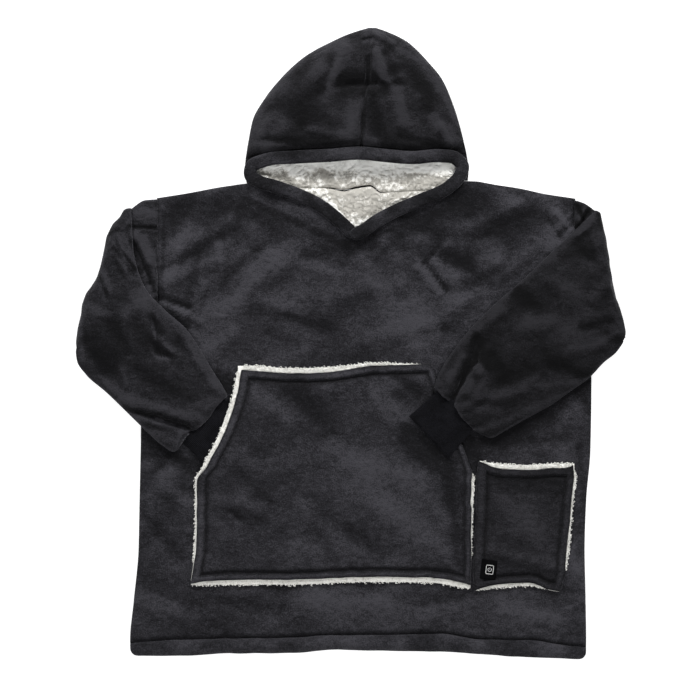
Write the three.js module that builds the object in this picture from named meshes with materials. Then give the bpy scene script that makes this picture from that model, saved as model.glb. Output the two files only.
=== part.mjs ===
// Wearable blanket hoodie, laid flat with its front up: flannel outside, sherpa pile inside.
// Millimetres: x across the garment, y from the hem to the hood, z up from the surface it lies on.
import * as THREE from "three";

// Driving sizes
const WALL = 7; // flannel with its pile
const SLACK = 1.4; // air between two layers that lie on each other
const SEAM = 0.3; // gap between pieces that are sewn together
const REST = 0.6; // gap under a piece that lies on another
const LAYERS = 2 * WALL + SLACK; // front and back on each other
const POCKET_FACE = 4; // flannel of a pocket
const POCKET_PILE = 3; // sherpa of a pocket
const POCKET = POCKET_FACE + POCKET_PILE + 2 * SEAM;
const RIB_WALL = 3.8; // rib knit of a cuff
const CUFF = 2 * RIB_WALL + SLACK; // height of a flat cuff
const RIB_RELIEF = 0.5; // how far a rib stands out
const RIBS = 34; // ribs round a cuff
const EDGE_ROUND = 16; // radius of a folded side edge
const UNDER_ROUND = 7; // radius of the same edge underneath
const LINING = 5; // sherpa inside the hood and the neck
const BAND_WIDE = 25; // folded band round the hood's mouth
const BAND_HIGH = 11;
const HOOD_ROUND = 60; // distance over which the hood rises from its edge
const HOOD_RIM = 2.4; // cloth left at the hood's flattened edge
const HOOD_HIGH = 47; // top of the hood behind the mouth
const HOOD_SIDE_DROP = 20; // how much lower it is at its sides
const HOOD_PEAK_DROP = 6; // how much lower it is near its peak
const HOOD_MIDDLE = { x: 12, y: 1040, wide: 205, long: 160 };
const FRONT_RIM = 1.6; // cloth left at the front's folded edge
const UNDER_LIFT = 5; // how far a bottom edge curls up
const HEM_WIDE = 860; // width of the hem laid flat
const TUCK_REACH = { flat: 10, fall: 46 }; // the pouch's rise round the cuff tucked into it
const SLEEVE_REACH = { flat: 3, fall: 90 }; // a sleeve's fall to the surface beside the body
const POUCH_REACH = { flat: 12, fall: 40 }; // the same beside the pouch

// Colours
const CHARCOAL = { color: 0x34343a, roughness: 0.95, metalness: 0 };
const BLACK = { color: 0x0c0c0e, roughness: 0.9, metalness: 0 };
const CREAM = { color: 0xe9e6de, roughness: 1, metalness: 0 };

// A table: the column names, then one row of numbers for each section or fold
function table(columns, ...rows) {
  const names = columns.split(" ");
  return rows.map((row) => Object.fromEntries(names.map((name, i) => [name, row[i]])));
}

// Body
const SIDES = table(
  "y left right",
  [0, -417, 445],
  [38, -419, 446],
  [114, -412, 445],
  [209, -403, 443],
  [304, -401, 446],
  [399, -399, 454],
  [532, -397, 456],
  [598, -384, 443],
  [640, -368, 425.4],
  [900, -368, 425.4],
);
const HEM = table(
  "x edge stitch",
  [-419, 9, 34],
  [-340, 9, 39],
  [-226, 14, 42],
  [-112, 15, 44],
  [-32, 21, 49],
  [48, 19, 49],
  [169, 17, 51],
  [247, 12, 40],
  [342, 6, 39],
  [400, 4, 30],
  [446, 2, 26],
);
const HEM_SECTIONS = table(
  "at thick lift",
  [0, 9, 4],
  [0.18, 15.5, 1],
  [0.5, 18.5, 0],
  [0.85, 17.5, 0],
  [0.97, 14.5, 0.4],
);
const SHOULDER = table(
  "x back front",
  [-368, 877, 877],
  [-317, 885, 885],
  [-226, 901, 901],
  [-182, 905, 905],
  [-146, 901, 899],
  [-101, 896, 882],
  [-61, 894, 864],
  [-27, 893, 838],
  [8, 893, 819],
  [49, 893, 832],
  [84, 894, 853],
  [131, 898, 871],
  [175, 907, 889],
  [196, 910, 905],
  [230, 909, 909],
  [276, 902, 902],
  [321, 895, 895],
  [367, 885, 885],
  [425.4, 876, 876],
);
const BODY_ROWS = [0, 0.05, 0.12, 0.2, 0.3, 0.4, 0.5, 0.58, 0.64, 0.69, 0.73, 0.8, 0.87, 0.93, 0.97, 0.99, 1];
const BODY_EDGES = [-368, -363, -356, -346];

// Sleeves: sections from the armhole to the cuff; a and b are the two edges of the flattened tube.
// bow curves the section outwards; turn is 0 in the lower layer and 180 once it is folded back.
const SLEEVE_LEFT = table(
  "ax ay bx by bow turn thick",
  [-369, 875, -369, 652, 0, 0, 15.4],
  [-392, 873, -432, 628, 4, 0, 15.4],
  [-416, 857, -512, 588, 9, 0, 15.4],
  [-416, 857, -512, 588, 9, 45, 15.4],
  [-416, 857, -512, 588, 9, 90, 15.4],
  [-416, 857, -512, 588, 9, 135, 15.4],
  [-416, 857, -512, 588, 9, 180, 15.4],
  [-414, 822, -516, 566, 8, 180, 16],
  [-411, 775, -500, 540, 7, 180, 17],
  [-391, 710, -462, 507, 6, 180, 17],
  [-352, 665, -428, 475, 3, 180, 17],
  [-312, 629, -398, 446, 2, 180, 17],
  [-287, 593, -376, 425, 0, 180, 17],
  [-262, 551, -356, 408, 0, 180, 17],
  [-241, 517, -338, 397, 0, 180, 15],
  [-235, 504, -328, 402, 0, 180, 11],
);
const SLEEVE_RIGHT = table(
  "ax ay bx by bow turn thick",
  [426, 873, 426, 652, 0, 0, 15.4],
  [443, 867, 468, 622, 0, 0, 15.4],
  [463, 853, 514, 604, -4, 0, 15.4],
  [463, 853, 514, 604, -4, 45, 15.4],
  [463, 853, 514, 604, -4, 90, 15.4],
  [463, 853, 514, 604, -4, 135, 15.4],
  [463, 853, 514, 604, -4, 180, 15.4],
  [440, 831, 500, 583, 0, 180, 16],
  [405, 798, 478, 565, 2, 180, 17],
  [365, 760, 450, 536, 0, 180, 17],
  [323, 720, 415, 511, 0, 180, 17],
  [279, 682, 380, 486, 0, 180, 17],
  [245, 650, 350, 469, 0, 180, 17],
  [213, 614, 319, 452, 0, 180, 17],
  [188, 580, 289, 435, 0, 180, 17],
  [166, 544, 264, 422, 0, 180, 15],
  [158, 519, 247, 427, 0, 180, 11],
);
const CUFF_LEFT = table("ax ay bx by", [-239, 494.8, -317, 411.4], [-181, 441, -259, 357.6]);
const CUFF_RIGHT = table("ax ay bx by", [162.4, 510.6, 231, 439.4], [110, 464, 184, 384]);

// Pockets
const POUCH = table(
  "y left right",
  [154, -299, 221],
  [190, -294, 223],
  [262, -291, 224],
  [342, -291, 228],
  [370, -270, 220],
  [418, -243, 201],
  [458, -227, 182],
  [502, -212, 165],
  [538, -205, 152],
  [553, -200, 144],
);
const POUCH_ENDS = table(
  "x bottom top",
  [-299, 155, 547],
  [-200, 156, 547],
  [-106, 156, 542],
  [-15, 160, 546],
  [38, 161, 552],
  [144, 160, 550],
  [221, 149, 548],
);
const POUCH_SLANT = { from: 342, over: 40 };
const POUCH_PILE = { left: 4, slant: 12, right: 5, bottom: 11, top: 12 };
const SIDE_POCKET = table(
  "y left right",
  [140, 237, 391],
  [179, 234, 404],
  [211, 235, 408],
  [253, 238, 412],
  [310, 240, 417],
  [344, 241, 422],
  [365, 244, 418],
);
const SIDE_ENDS = table(
  "x bottom top",
  [234, 142, 369],
  [281, 149, 361],
  [336, 152, 359],
  [391, 141, 362],
  [422, 140, 362],
);
const SIDE_PILE = { left: 0, slant: 0, right: 4, bottom: 9, top: 12 };
const PATCH = { x: 260, y: 174, wide: 31, high: 38, thick: 1.6, lean: -0.12 };

// Hood
const HOOD = table(
  "y left right",
  [906, -198, 221],
  [927, -202, 223],
  [950, -200, 221],
  [988, -194, 213],
  [1026, -186, 203],
  [1064, -165, 190],
  [1102, -135, 173],
  [1140, -95, 142],
  [1159, -66, 124],
  [1174, -36, 106],
  [1186, -10, 84],
  [1195, 16, 62],
  [1200, 34, 47],
);
const HOOD_SEAM = table("y x", [960, 19], [1011, 20], [1058, 23], [1096, 30], [1153, 33], [1200, 40]);
const HOOD_ROWS = [0, 0.08, 0.18, 0.3, 0.42, 0.52, 0.62, 0.72, 0.82, 0.9, 0.96, 1];
const HOOD_LINING = { left: -172, right: 190, top: 1020, drop: 60 };
const BACK_LINING = { left: -92, right: 118 };
const LINING_CLEAR = 1; // from the linings' edges to the cloth round them
const BAND_TOP = table(
  "x y",
  [-205, 952],
  [-169, 965],
  [-97, 969],
  [-30, 974],
  [19, 979],
  [55, 974],
  [116, 969],
  [169, 974],
  [225, 977],
);
// The band's middle line, from its left end at the neck round the mouth to its right end on top
const BAND = table(
  "x y z",
  [6, 806, 21.8],
  [-10, 822, 21.8],
  [-33, 843, 21.8],
  [-63, 865, 21.8],
  [-101, 883, 22.6],
  [-146, 899, 22.6],
  [-175, 908, 22.4],
  [-190, 920, 19],
  [-188, 936, 20],
  [-165, 947, 25],
  [-104, 953, 33],
  [-40, 956, 38],
  [19, 960, 40],
  [60, 956, 39],
  [116, 952, 34],
  [169, 956, 26],
  [199, 951, 21],
  [211, 937, 19],
  [206, 919, 21],
  [186, 898, 22.4],
  [131, 872, 22.6],
  [84, 852, 22.6],
  [49, 833, 27],
  [22, 814, 33.6],
  [-8, 800, 33.8],
);

// Folds and dents of a piece: a line, how far it stands out, and how wide it is
const FRONT_FOLDS = table(
  "ax ay bx by rise wide",
  [-350, 690, -300, 670, 3, 16],
  [-250, 800, -60, 700, 3, 40],
  [-120, 640, 60, 760, 3.5, 36],
  [120, 790, 190, 700, -3, 26],
);
const LEFT_FOLDS = table(
  "ax ay bx by rise wide",
  [-412, 826, -372, 822, -5, 7],
  [-408, 806, -366, 700, 3, 14],
  [-372, 630, -350, 578, -4, 12],
  [-402, 470, -308, 441, -5, 9],
  [-480, 730, -464, 674, 2.5, 8],
  [-440, 640, -330, 500, 3, 50],
);
const RIGHT_FOLDS = table(
  "ax ay bx by rise wide",
  [238, 590, 194, 496, -5, 10],
  [262, 560, 224, 480, 4, 20],
  [436, 866, 426, 830, -4, 6],
  [480, 760, 330, 560, 3, 60],
);
const HOOD_FOLDS = table(
  "ax ay bx by rise wide",
  [-32, 1084, 58, 1090, -9, 13],
  [-14, 1158, -42, 1082, 5, 18],
  [46, 1150, 58, 1096, 5, 14],
  [34, 1192, 50, 1184, 5, 12],
  [-130, 1060, -150, 980, 3, 26],
);

const clamp = (value, low, high) => Math.min(Math.max(value, low), high);
const lerp = (from, to, t) => from + (to - from) * t;
const flatTurn = (degrees) => degrees * (Math.PI / 180);

// A smooth line through two columns of a table, which never overshoots its rows
function through(rows, from, to) {
  const at = rows.map((row) => row[from]);
  const value = rows.map((row) => row[to]);
  const steps = at.slice(1).map((x, i) => (value[i + 1] - value[i]) / (x - at[i]));
  const slopes = at.map((_, i) => {
    const before = steps[Math.max(i - 1, 0)];
    const after = steps[Math.min(i, steps.length - 1)];
    return before * after > 0 ? (2 * before * after) / (before + after) : 0;
  });
  return (x) => {
    const last = at.length - 2;
    const i = clamp(at.findIndex((start) => start > x) - 1, 0, last);
    const row = x >= at[last + 1] ? last : i;
    const span = at[row + 1] - at[row];
    const t = clamp((x - at[row]) / span, 0, 1);
    const rise = (3 - 2 * t) * t * t;
    const ends = lerp(value[row], value[row + 1], rise);
    const bend = t * (1 - t) * (slopes[row] * (1 - t) - slopes[row + 1] * t) * span;
    return ends + bend;
  };
}

// Distance from a point to a line between two points
function fromLine(x, y, ax, ay, bx, by) {
  const long = (bx - ax) ** 2 + (by - ay) ** 2;
  const t = clamp(((x - ax) * (bx - ax) + (y - ay) * (by - ay)) / long, 0, 1);
  return Math.hypot(x - lerp(ax, bx, t), y - lerp(ay, by, t));
}

// How far a point lies inside an outline, negative outside it
function inside(outline, x, y) {
  let nearest = Infinity;
  let within = false;
  outline.forEach(([bx, by], i) => {
    const [ax, ay] = outline[(i + outline.length - 1) % outline.length];
    nearest = Math.min(nearest, fromLine(x, y, ax, ay, bx, by));
    const crosses = ay > y !== by > y && x < lerp(ax, bx, (y - ay) / (by - ay));
    within = crosses ? !within : within;
  });
  return within ? nearest : -nearest;
}

// A quarter round: 0 at the edge, 1 from the radius inwards
const round = (distance, radius) => Math.sqrt(1 - (1 - clamp(distance / radius, 0, 1)) ** 2);

// A soft slope: 1 up to the edge, 0 at the reach outside it
function slope(distance, reach) {
  const t = clamp(distance / reach, 0, 1);
  return 1 - t * t * (3 - 2 * t);
}

// What the folds of a table add to a height
function relief(folds, x, y) {
  const part = (fold) => {
    const away = fromLine(x, y, fold.ax, fold.ay, fold.bx, fold.by) / fold.wide;
    return fold.rise * Math.exp(-away * away);
  };
  return folds.reduce((sum, fold) => sum + part(fold), 0);
}

// Numbers from 0 to 1, closer together at both ends
function closeEnds(count) {
  const even = Array.from({ length: count + 1 }, (_, i) => i / count);
  return even.map((t) => t - (0.8 * Math.sin(2 * Math.PI * t)) / (2 * Math.PI));
}

// A plan point that lies between two sides and between two ends of an outline
function settle(u, v, left, right, bottom, top) {
  let y = lerp(bottom(0), top(0), v);
  let x = 0;
  for (let pass = 0; pass < 4; pass++) {
    x = lerp(left(y), right(y), u);
    y = lerp(bottom(x), top(x), v);
  }
  return [x, y];
}

// A named mesh from points and faces, its faces turned outwards
function piece(name, finish, points, faces) {
  const volume = faces.reduce((sum, [i, j, k]) => {
    const [a, b, c] = [points[i], points[j], points[k]];
    const cross = new THREE.Vector3(...b).cross(new THREE.Vector3(...c));
    return sum + cross.dot(new THREE.Vector3(...a));
  }, 0);
  const outward = volume > 0 ? faces : faces.map(([i, j, k]) => [i, k, j]);
  const geometry = new THREE.BufferGeometry();
  geometry.setAttribute("position", new THREE.Float32BufferAttribute(points.flat(), 3));
  geometry.setIndex(outward.flat());
  geometry.computeVertexNormals();
  const mesh = new THREE.Mesh(geometry, new THREE.MeshStandardMaterial(finish));
  mesh.name = name;
  return mesh;
}

// A closed sheet over a grid of plan points, between a lower and an upper height
function sheet(name, finish, columns, rows, plan, lower, upper) {
  const wide = columns.length;
  const size = wide * rows.length;
  const spots = rows.flatMap((v) => columns.map((u) => plan(u, v)));
  const points = [upper, lower].flatMap((height) => spots.map(([x, y]) => [x, y, height(x, y)]));
  const faces = [];
  const quad = (a, b, c, d) => faces.push([a, b, c], [a, c, d]);
  for (let row = 0; row + 1 < rows.length; row++) {
    for (let column = 0; column + 1 < wide; column++) {
      const at = row * wide + column;
      quad(at, at + 1, at + wide + 1, at + wide);
      quad(size + at, size + at + wide, size + at + wide + 1, size + at + 1);
    }
  }
  const rim = [
    ...columns.slice(1).map((_, i) => i),
    ...rows.slice(1).map((_, i) => i * wide + wide - 1),
    ...columns.slice(1).map((_, i) => size - 1 - i),
    ...rows.slice(1).map((_, i) => size - wide - i * wide),
  ];
  rim.forEach((from, i) => {
    const to = rim[(i + 1) % rim.length];
    quad(from, size + from, size + to, to);
  });
  return piece(name, finish, points, faces);
}

// A closed wall round a hollow, from outer and inner loops of the same length
function wallTube(name, finish, outer, inner) {
  const around = outer[0].length;
  const stations = outer.length;
  const points = [...outer.flat(), ...inner.flat()];
  const faces = [];
  const quad = (a, b, c, d) => faces.push([a, b, c], [a, c, d]);
  const outside = (k, j) => k * around + (j % around);
  const within = (k, j) => stations * around + outside(k, j);
  for (let j = 0; j < around; j++) {
    for (let k = 0; k + 1 < stations; k++) {
      quad(outside(k, j), outside(k, j + 1), outside(k + 1, j + 1), outside(k + 1, j));
      quad(within(k, j), within(k + 1, j), within(k + 1, j + 1), within(k, j + 1));
    }
    const end = stations - 1;
    quad(outside(0, j), within(0, j), within(0, j + 1), outside(0, j + 1));
    quad(outside(end, j), outside(end, j + 1), within(end, j + 1), within(end, j));
  }
  return piece(name, finish, points, faces);
}

// Places round a flattened section: w from edge to edge, d from -1 to 1 through its thickness
function flatLoop(across) {
  const upper = across.map((w) => ({ w, d: (4 * w * (1 - w)) ** 0.25 }));
  const lower = upper.slice(1, -1).map(({ w, d }) => ({ w, d: -d }));
  return [...upper, ...lower.reverse()];
}
const evenLoop = (count) => closeEnds(count / 2);

// Outer and inner loops of flattened sections; place(section, w, d) gives a point
function flatTube(name, finish, sections, across, place, ribbed = false) {
  const loop = flatLoop(across);
  const rib = (j) => (ribbed && j % 2 ? RIB_RELIEF : 0);
  const outer = sections.map((section) =>
    loop.map(({ w, d }, j) => place(section, w, d * (section.thick / 2 - rib(j)))),
  );
  const inner = sections.map((section) => {
    const wall = (section.thick - SLACK) / 2;
    const inset = wall / Math.hypot(section.bx - section.ax, section.by - section.ay);
    return loop.map(({ w, d }) => place(section, lerp(inset, 1 - inset, w), (d * SLACK) / 2));
  });
  return wallTube(name, finish, outer, inner);
}

// Outlines
const bodyLeft = through(SIDES, "y", "left");
const bodyRight = through(SIDES, "y", "right");
const hemEdge = through(HEM, "x", "edge");
const hemStitch = through(HEM, "x", "stitch");
const shoulderBack = through(SHOULDER, "x", "back");
const shoulderFront = through(SHOULDER, "x", "front");
const HEM_DEEP = 42;
const ARMHOLE = { left: -368, right: 425.4, foot: 640 };
const SHOULDER_END = { left: 877, right: 876 };
const NECK = { left: -183, right: 196 };
const FAR = 120; // how far an outline runs on where its edge isn't folded

// The body's folded edges: its sides and shoulders, but not hem, neck or armholes
function foldedOutline() {
  const sides = SIDES.filter((row) => row.y < ARMHOLE.foot);
  const atNeck = (row) => row.x > NECK.left && row.x < NECK.right;
  return [
    [bodyLeft(0), -FAR],
    ...sides.map((row) => [row.left, row.y]),
    [ARMHOLE.left, ARMHOLE.foot],
    [ARMHOLE.left - FAR, ARMHOLE.foot],
    [ARMHOLE.left - FAR, SHOULDER_END.left],
    ...SHOULDER.map((row) => [row.x, row.back + (atNeck(row) ? FAR : 0)]),
    [ARMHOLE.right + FAR, SHOULDER_END.right],
    [ARMHOLE.right + FAR, ARMHOLE.foot],
    [ARMHOLE.right, ARMHOLE.foot],
    ...sides.map((row) => [row.right, row.y]).reverse(),
    [bodyRight(0), -FAR],
  ];
}
const FOLDED = foldedOutline();

// The outline of a row table, left side up and right side down
function rowOutline(rows, grow = 0) {
  const left = rows.map((row) => [row.left - grow, row.y]);
  const right = rows.map((row) => [row.right + grow, row.y]).reverse();
  return [...left, ...right];
}
const BODY_OUTLINE = rowOutline(SIDES);
const HOOD_OUTLINE = rowOutline(HOOD.slice(1));
const POUCH_OUTLINE = rowOutline(POUCH, POUCH_PILE.right);
const corners = ([start, end]) => [
  [start.ax, start.ay],
  [start.bx, start.by],
  [end.bx, end.by],
  [end.ax, end.ay],
];
const TUCKED = corners(CUFF_LEFT);

// Body heights
const innerFloor = WALL + SLACK;
const frontBottom = () => innerFloor;
function frontTop(x, y) {
  const rim = innerFloor + FRONT_RIM;
  const edge = round(inside(FOLDED, x, y), EDGE_ROUND);
  return lerp(rim, LAYERS, edge) + relief(FRONT_FOLDS, x, y) * edge;
}
function backBottom(x, y) {
  return UNDER_LIFT * (1 - round(inside(FOLDED, x, y), UNDER_ROUND));
}
function backTop(x, y) {
  return WALL + (SLACK - SEAM) * (1 - round(inside(FOLDED, x, y), EDGE_ROUND));
}

// The cuff that is tucked into the pouch lifts the pouch above it
function pouchLift(x, y) {
  const away = -inside(TUCKED, x, y) - TUCK_REACH.flat;
  return (CUFF + REST) * slope(away, TUCK_REACH.fall);
}
function onFront(x, y) {
  return LAYERS + Math.max(relief(FRONT_FOLDS, x, y), 0);
}
const pocketPileBottom = (x, y) => onFront(x, y) + SEAM + pouchLift(x, y);
const pocketPileTop = (x, y) => pocketPileBottom(x, y) + POCKET_PILE;
const pocketFaceBottom = (x, y) => pocketPileTop(x, y) + SEAM;
const pocketFaceTop = (x, y) => pocketFaceBottom(x, y) + POCKET_FACE;

// What a folded sleeve lies on: its own lower layer, the body and the pouch, and the floor beyond
function sleeveRest(side, x, y) {
  const foot = side < 0 ? [-369, 642, -512, 588] : [426, 627, 514, 604];
  const lower = lerp(foot[1], foot[3], (x - foot[0]) / (foot[2] - foot[0]));
  const offBody = -inside(BODY_OUTLINE, x, y);
  const offLayer = side * (x - foot[0]) > 0 ? lower - y : Infinity;
  const off = Math.min(offBody, offLayer) - SLEEVE_REACH.flat;
  return onFront(x, y) - LAYERS + LAYERS * slope(off, SLEEVE_REACH.fall);
}
function onPouch(x, y) {
  const away = -inside(POUCH_OUTLINE, x, y) - POUCH_REACH.flat;
  return POCKET * slope(away, POUCH_REACH.fall);
}

// Places of a sleeve's sections: flat, round the fold, and folded back on top
function sleevePlace(side, folds) {
  const hinge = LAYERS + SEAM;
  const radius = LAYERS / 2 + SEAM;
  return (section, w, d) => {
    const { ax, ay, bx, by, bow, turn } = section;
    const wide = Math.hypot(bx - ax, by - ay);
    const out = [(-side * (by - ay)) / wide, (side * (bx - ax)) / wide];
    const angle = flatTurn(turn);
    const away = bow * 4 * w * (1 - w) + (radius + d) * Math.sin(angle);
    const x = lerp(ax, bx, w) + out[0] * away;
    const y = lerp(ay, by, w) + out[1] * away;
    const upper = turn === 180;
    const flat = hinge - (radius + d) * Math.cos(angle);
    const base = sleeveRest(side, x, y) + (side > 0 ? onPouch(x, y) : 0);
    const laid = base + REST + section.thick / 2 + d;
    const outward = upper ? d : -d;
    const fold = turn % 180 === 0 && outward > 1 ? relief(folds, x, y) * (outward / (section.thick / 2)) : 0;
    const high = upper ? laid : flat;
    return [x, y, high + fold];
  };
}

const body = new THREE.Group();
const acrossBody = (x) => (x - ARMHOLE.left) / (ARMHOLE.right - ARMHOLE.left);
const edgeColumns = BODY_EDGES.map(acrossBody);
const BODY_COLUMNS = [
  ...edgeColumns,
  ...SHOULDER.slice(1, -1).map((row) => acrossBody(row.x)),
  ...edgeColumns.map((u) => 1 - u).reverse(),
];

// A body panel from the hem's stitch line to its top edge
function bodyPanel(name, topEdge, lower, upper) {
  const plan = (u, v) => settle(u, v, bodyLeft, bodyRight, hemStitch, topEdge);
  return sheet(name, CHARCOAL, BODY_COLUMNS, BODY_ROWS, plan, lower, upper);
}
body.add(bodyPanel("body_back", shoulderBack, backBottom, backTop));
body.add(bodyPanel("body_front", shoulderFront, frontBottom, frontTop));

// The turned hem, one band round both layers
function hemBand() {
  const sections = HEM_SECTIONS.map((row) => ({ ...row, ax: 0, ay: 0, bx: HEM_WIDE, by: 0 }));
  const place = (section, w, d) => {
    const x = lerp(bodyLeft(HEM_DEEP), bodyRight(HEM_DEEP), w);
    const y = lerp(hemEdge(x), hemStitch(x), section.at);
    return [x, y, section.thick / 2 + section.lift + d];
  };
  return flatTube("hem_band", CHARCOAL, sections, BODY_COLUMNS, place);
}
body.add(hemBand());

// Sleeves and their rib cuffs
body.add(flatTube("sleeve_left", CHARCOAL, SLEEVE_LEFT, evenLoop(28), sleevePlace(-1, LEFT_FOLDS)));
body.add(flatTube("sleeve_right", CHARCOAL, SLEEVE_RIGHT, evenLoop(28), sleevePlace(1, RIGHT_FOLDS)));

function cuff(name, ends, base) {
  const sections = ends.map((end) => ({ ...end, thick: CUFF }));
  const place = (section, w, d) => {
    const x = lerp(section.ax, section.bx, w);
    const y = lerp(section.ay, section.by, w);
    return [x, y, base(x, y) + REST + CUFF / 2 + d];
  };
  return flatTube(name, BLACK, sections, evenLoop(2 * RIBS), place, true);
}
body.add(cuff("cuff_left", CUFF_LEFT, onFront));
body.add(cuff("cuff_right", CUFF_RIGHT, (x, y) => onFront(x, y) + onPouch(x, y)));

// A pocket's plan: its rows and ends, grown by its border of pile
function pocketPlan(rows, ends, border) {
  const left = through(rows, "y", "left");
  const right = through(rows, "y", "right");
  const bottom = through(ends, "x", "bottom");
  const top = through(ends, "x", "top");
  const slanted = (y) => clamp((y - POUCH_SLANT.from) / POUCH_SLANT.over, 0, 1);
  return (u, v) => {
    const [x, y] = settle(clamp(u, 0, 1), clamp(v, 0, 1), left, right, bottom, top);
    const leftBorder = lerp(border.left, border.slant, slanted(y));
    const out = (u < 0 ? -leftBorder : 0) + (u > 1 ? border.right : 0);
    return [x + out, y + (v < 0 ? -border.bottom : 0) + (v > 1 ? border.top : 0)];
  };
}

// A pocket: its flannel face, and under it the pile that stands out all round it
function pocket(name, rows, ends, border, columns, lines) {
  const plan = pocketPlan(rows, ends, border);
  const bordered = (places) => [-1, ...places, 2];
  const wide = border.left ? bordered(columns) : [...columns, 2];
  body.add(sheet(`${name}_pile`, CREAM, wide, bordered(lines), plan, pocketPileBottom, pocketPileTop));
  body.add(sheet(name, CHARCOAL, columns, lines, plan, pocketFaceBottom, pocketFaceTop));
}
const POUCH_COLUMNS = [0, 0.02, 0.05, 0.1, 0.15, 0.2, 0.26, 0.33, 0.42, 0.54, 0.68, 0.82, 0.93, 1];
const POUCH_ROWS = [0, 0.03, 0.1, 0.22, 0.36, 0.46, 0.53, 0.6, 0.67, 0.74, 0.81, 0.88, 0.94, 1];
pocket("pouch_pocket", POUCH, POUCH_ENDS, POUCH_PILE, POUCH_COLUMNS, POUCH_ROWS);
pocket("side_pocket", SIDE_POCKET, SIDE_ENDS, SIDE_PILE, closeEnds(6), closeEnds(8));

// The switch patch on the side pocket
function switchPatch() {
  const plan = (u, v) => {
    const [x, y] = [(u - 0.5) * PATCH.wide, (v - 0.5) * PATCH.high];
    const [c, s] = [Math.cos(PATCH.lean), Math.sin(PATCH.lean)];
    return [PATCH.x + x * c - y * s, PATCH.y + x * s + y * c];
  };
  const lower = (x, y) => pocketFaceTop(x, y) + SEAM;
  const upper = (x, y) => lower(x, y) + PATCH.thick;
  return sheet("switch_patch", BLACK, [0, 0.5, 1], [0, 0.5, 1], plan, lower, upper);
}
body.add(switchPatch());

// Hood heights
const PEAK = 1200;
const hoodLeft = through(HOOD, "y", "left");
const hoodRight = through(HOOD, "y", "right");
const hoodSeam = through(HOOD_SEAM, "y", "x");
const bandTop = through(BAND_TOP, "x", "y");

function hoodTop(x, y) {
  const edge = round(inside(HOOD_OUTLINE, x, y), HOOD_ROUND);
  const across = clamp(Math.abs(x - HOOD_MIDDLE.x) / HOOD_MIDDLE.wide, 0, 1);
  const along = clamp((y - HOOD_MIDDLE.y) / HOOD_MIDDLE.long, 0, 1);
  const crown = HOOD_HIGH - HOOD_SIDE_DROP * across * across - HOOD_PEAK_DROP * along;
  return lerp(WALL + SEAM + HOOD_RIM, crown, edge) + relief(HOOD_FOLDS, x, y) * edge;
}
function hoodUnder(x, y) {
  return Math.max(hoodTop(x, y) - WALL, WALL + SEAM);
}
const hoodBackBottom = (x, y) => UNDER_LIFT * (1 - round(inside(HOOD_OUTLINE, x, y), UNDER_ROUND));

function hoodBack() {
  const foot = (x) => shoulderBack(x) + 2 * SEAM;
  const plan = (u, v) => settle(u, v, hoodLeft, hoodRight, foot, () => PEAK);
  return sheet("hood_back", CHARCOAL, closeEnds(16), HOOD_ROWS, plan, hoodBackBottom, () => WALL);
}
body.add(hoodBack());

function hoodPanel(name, fromLeft) {
  const left = fromLeft ? hoodLeft : (y) => hoodSeam(y) + SEAM / 2;
  const right = fromLeft ? (y) => hoodSeam(y) - SEAM / 2 : hoodRight;
  const plan = (u, v) => settle(u, v, left, right, bandTop, () => PEAK);
  return sheet(name, CHARCOAL, closeEnds(10), HOOD_ROWS, plan, hoodUnder, hoodTop);
}
body.add(hoodPanel("hood_left", true));
body.add(hoodPanel("hood_right", false));

// The sherpa that shows in the mouth: the hood's, and below the neck seam the back's
function linings() {
  const lower = () => WALL + SEAM;
  const upper = () => WALL + SEAM + LINING;
  const foot = (x) => Math.max(shoulderBack(x), shoulderFront(x) + LINING_CLEAR) + LINING_CLEAR;
  const hoodPlan = (u, v) => {
    const x = lerp(HOOD_LINING.left, HOOD_LINING.right, u);
    const arch = HOOD_LINING.top - HOOD_LINING.drop * (2 * u - 1) ** 2;
    return [x, lerp(foot(x), arch, v)];
  };
  const backPlan = (u, v) => {
    const x = lerp(BACK_LINING.left, BACK_LINING.right, u);
    return [x, lerp(shoulderFront(x) + 2 * LINING_CLEAR, shoulderBack(x) - LINING_CLEAR, v)];
  };
  body.add(sheet("hood_lining", CREAM, closeEnds(14), closeEnds(6), hoodPlan, lower, upper));
  body.add(sheet("back_lining", CREAM, closeEnds(12), closeEnds(4), backPlan, lower, upper));
}
linings();

// The folded band round the mouth, its ends crossed at the neck
function hoodBand() {
  const path = new THREE.CatmullRomCurve3(BAND.map(({ x, y, z }) => new THREE.Vector3(x, y, z)));
  const [stations, around] = [52, 12];
  const loops = Array.from({ length: stations + 1 }, (_, k) => {
    const t = k / stations;
    const centre = path.getPointAt(t);
    const along = path.getTangentAt(t).setZ(0).normalize();
    return Array.from({ length: around }, (_, j) => {
      const angle = (2 * Math.PI * j) / around;
      const across = (Math.sign(Math.cos(angle)) * Math.abs(Math.cos(angle)) ** 0.7 * BAND_WIDE) / 2;
      const up = (Math.sign(Math.sin(angle)) * Math.abs(Math.sin(angle)) ** 0.8 * BAND_HIGH) / 2;
      return [centre.x - along.y * across, centre.y + along.x * across, centre.z + up];
    });
  });
  const points = loops.flat();
  const faces = [];
  for (let k = 0; k < stations; k++) {
    for (let j = 0; j < around; j++) {
      const [a, b] = [k * around + j, k * around + ((j + 1) % around)];
      faces.push([a, b, b + around], [a, b + around, a + around]);
    }
  }
  const last = stations * around;
  for (let j = 1; j + 1 < around; j++) faces.push([0, j + 1, j], [last, last + j, last + j + 1]);
  return piece("hood_band", CHARCOAL, points, faces);
}
body.add(hoodBand());

// The origin is on the surface, under the middle of the whole garment
const middle = new THREE.Box3().setFromObject(body, true).getCenter(new THREE.Vector3());
body.position.set(-middle.x, -middle.y, 0);
export default body;
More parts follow.
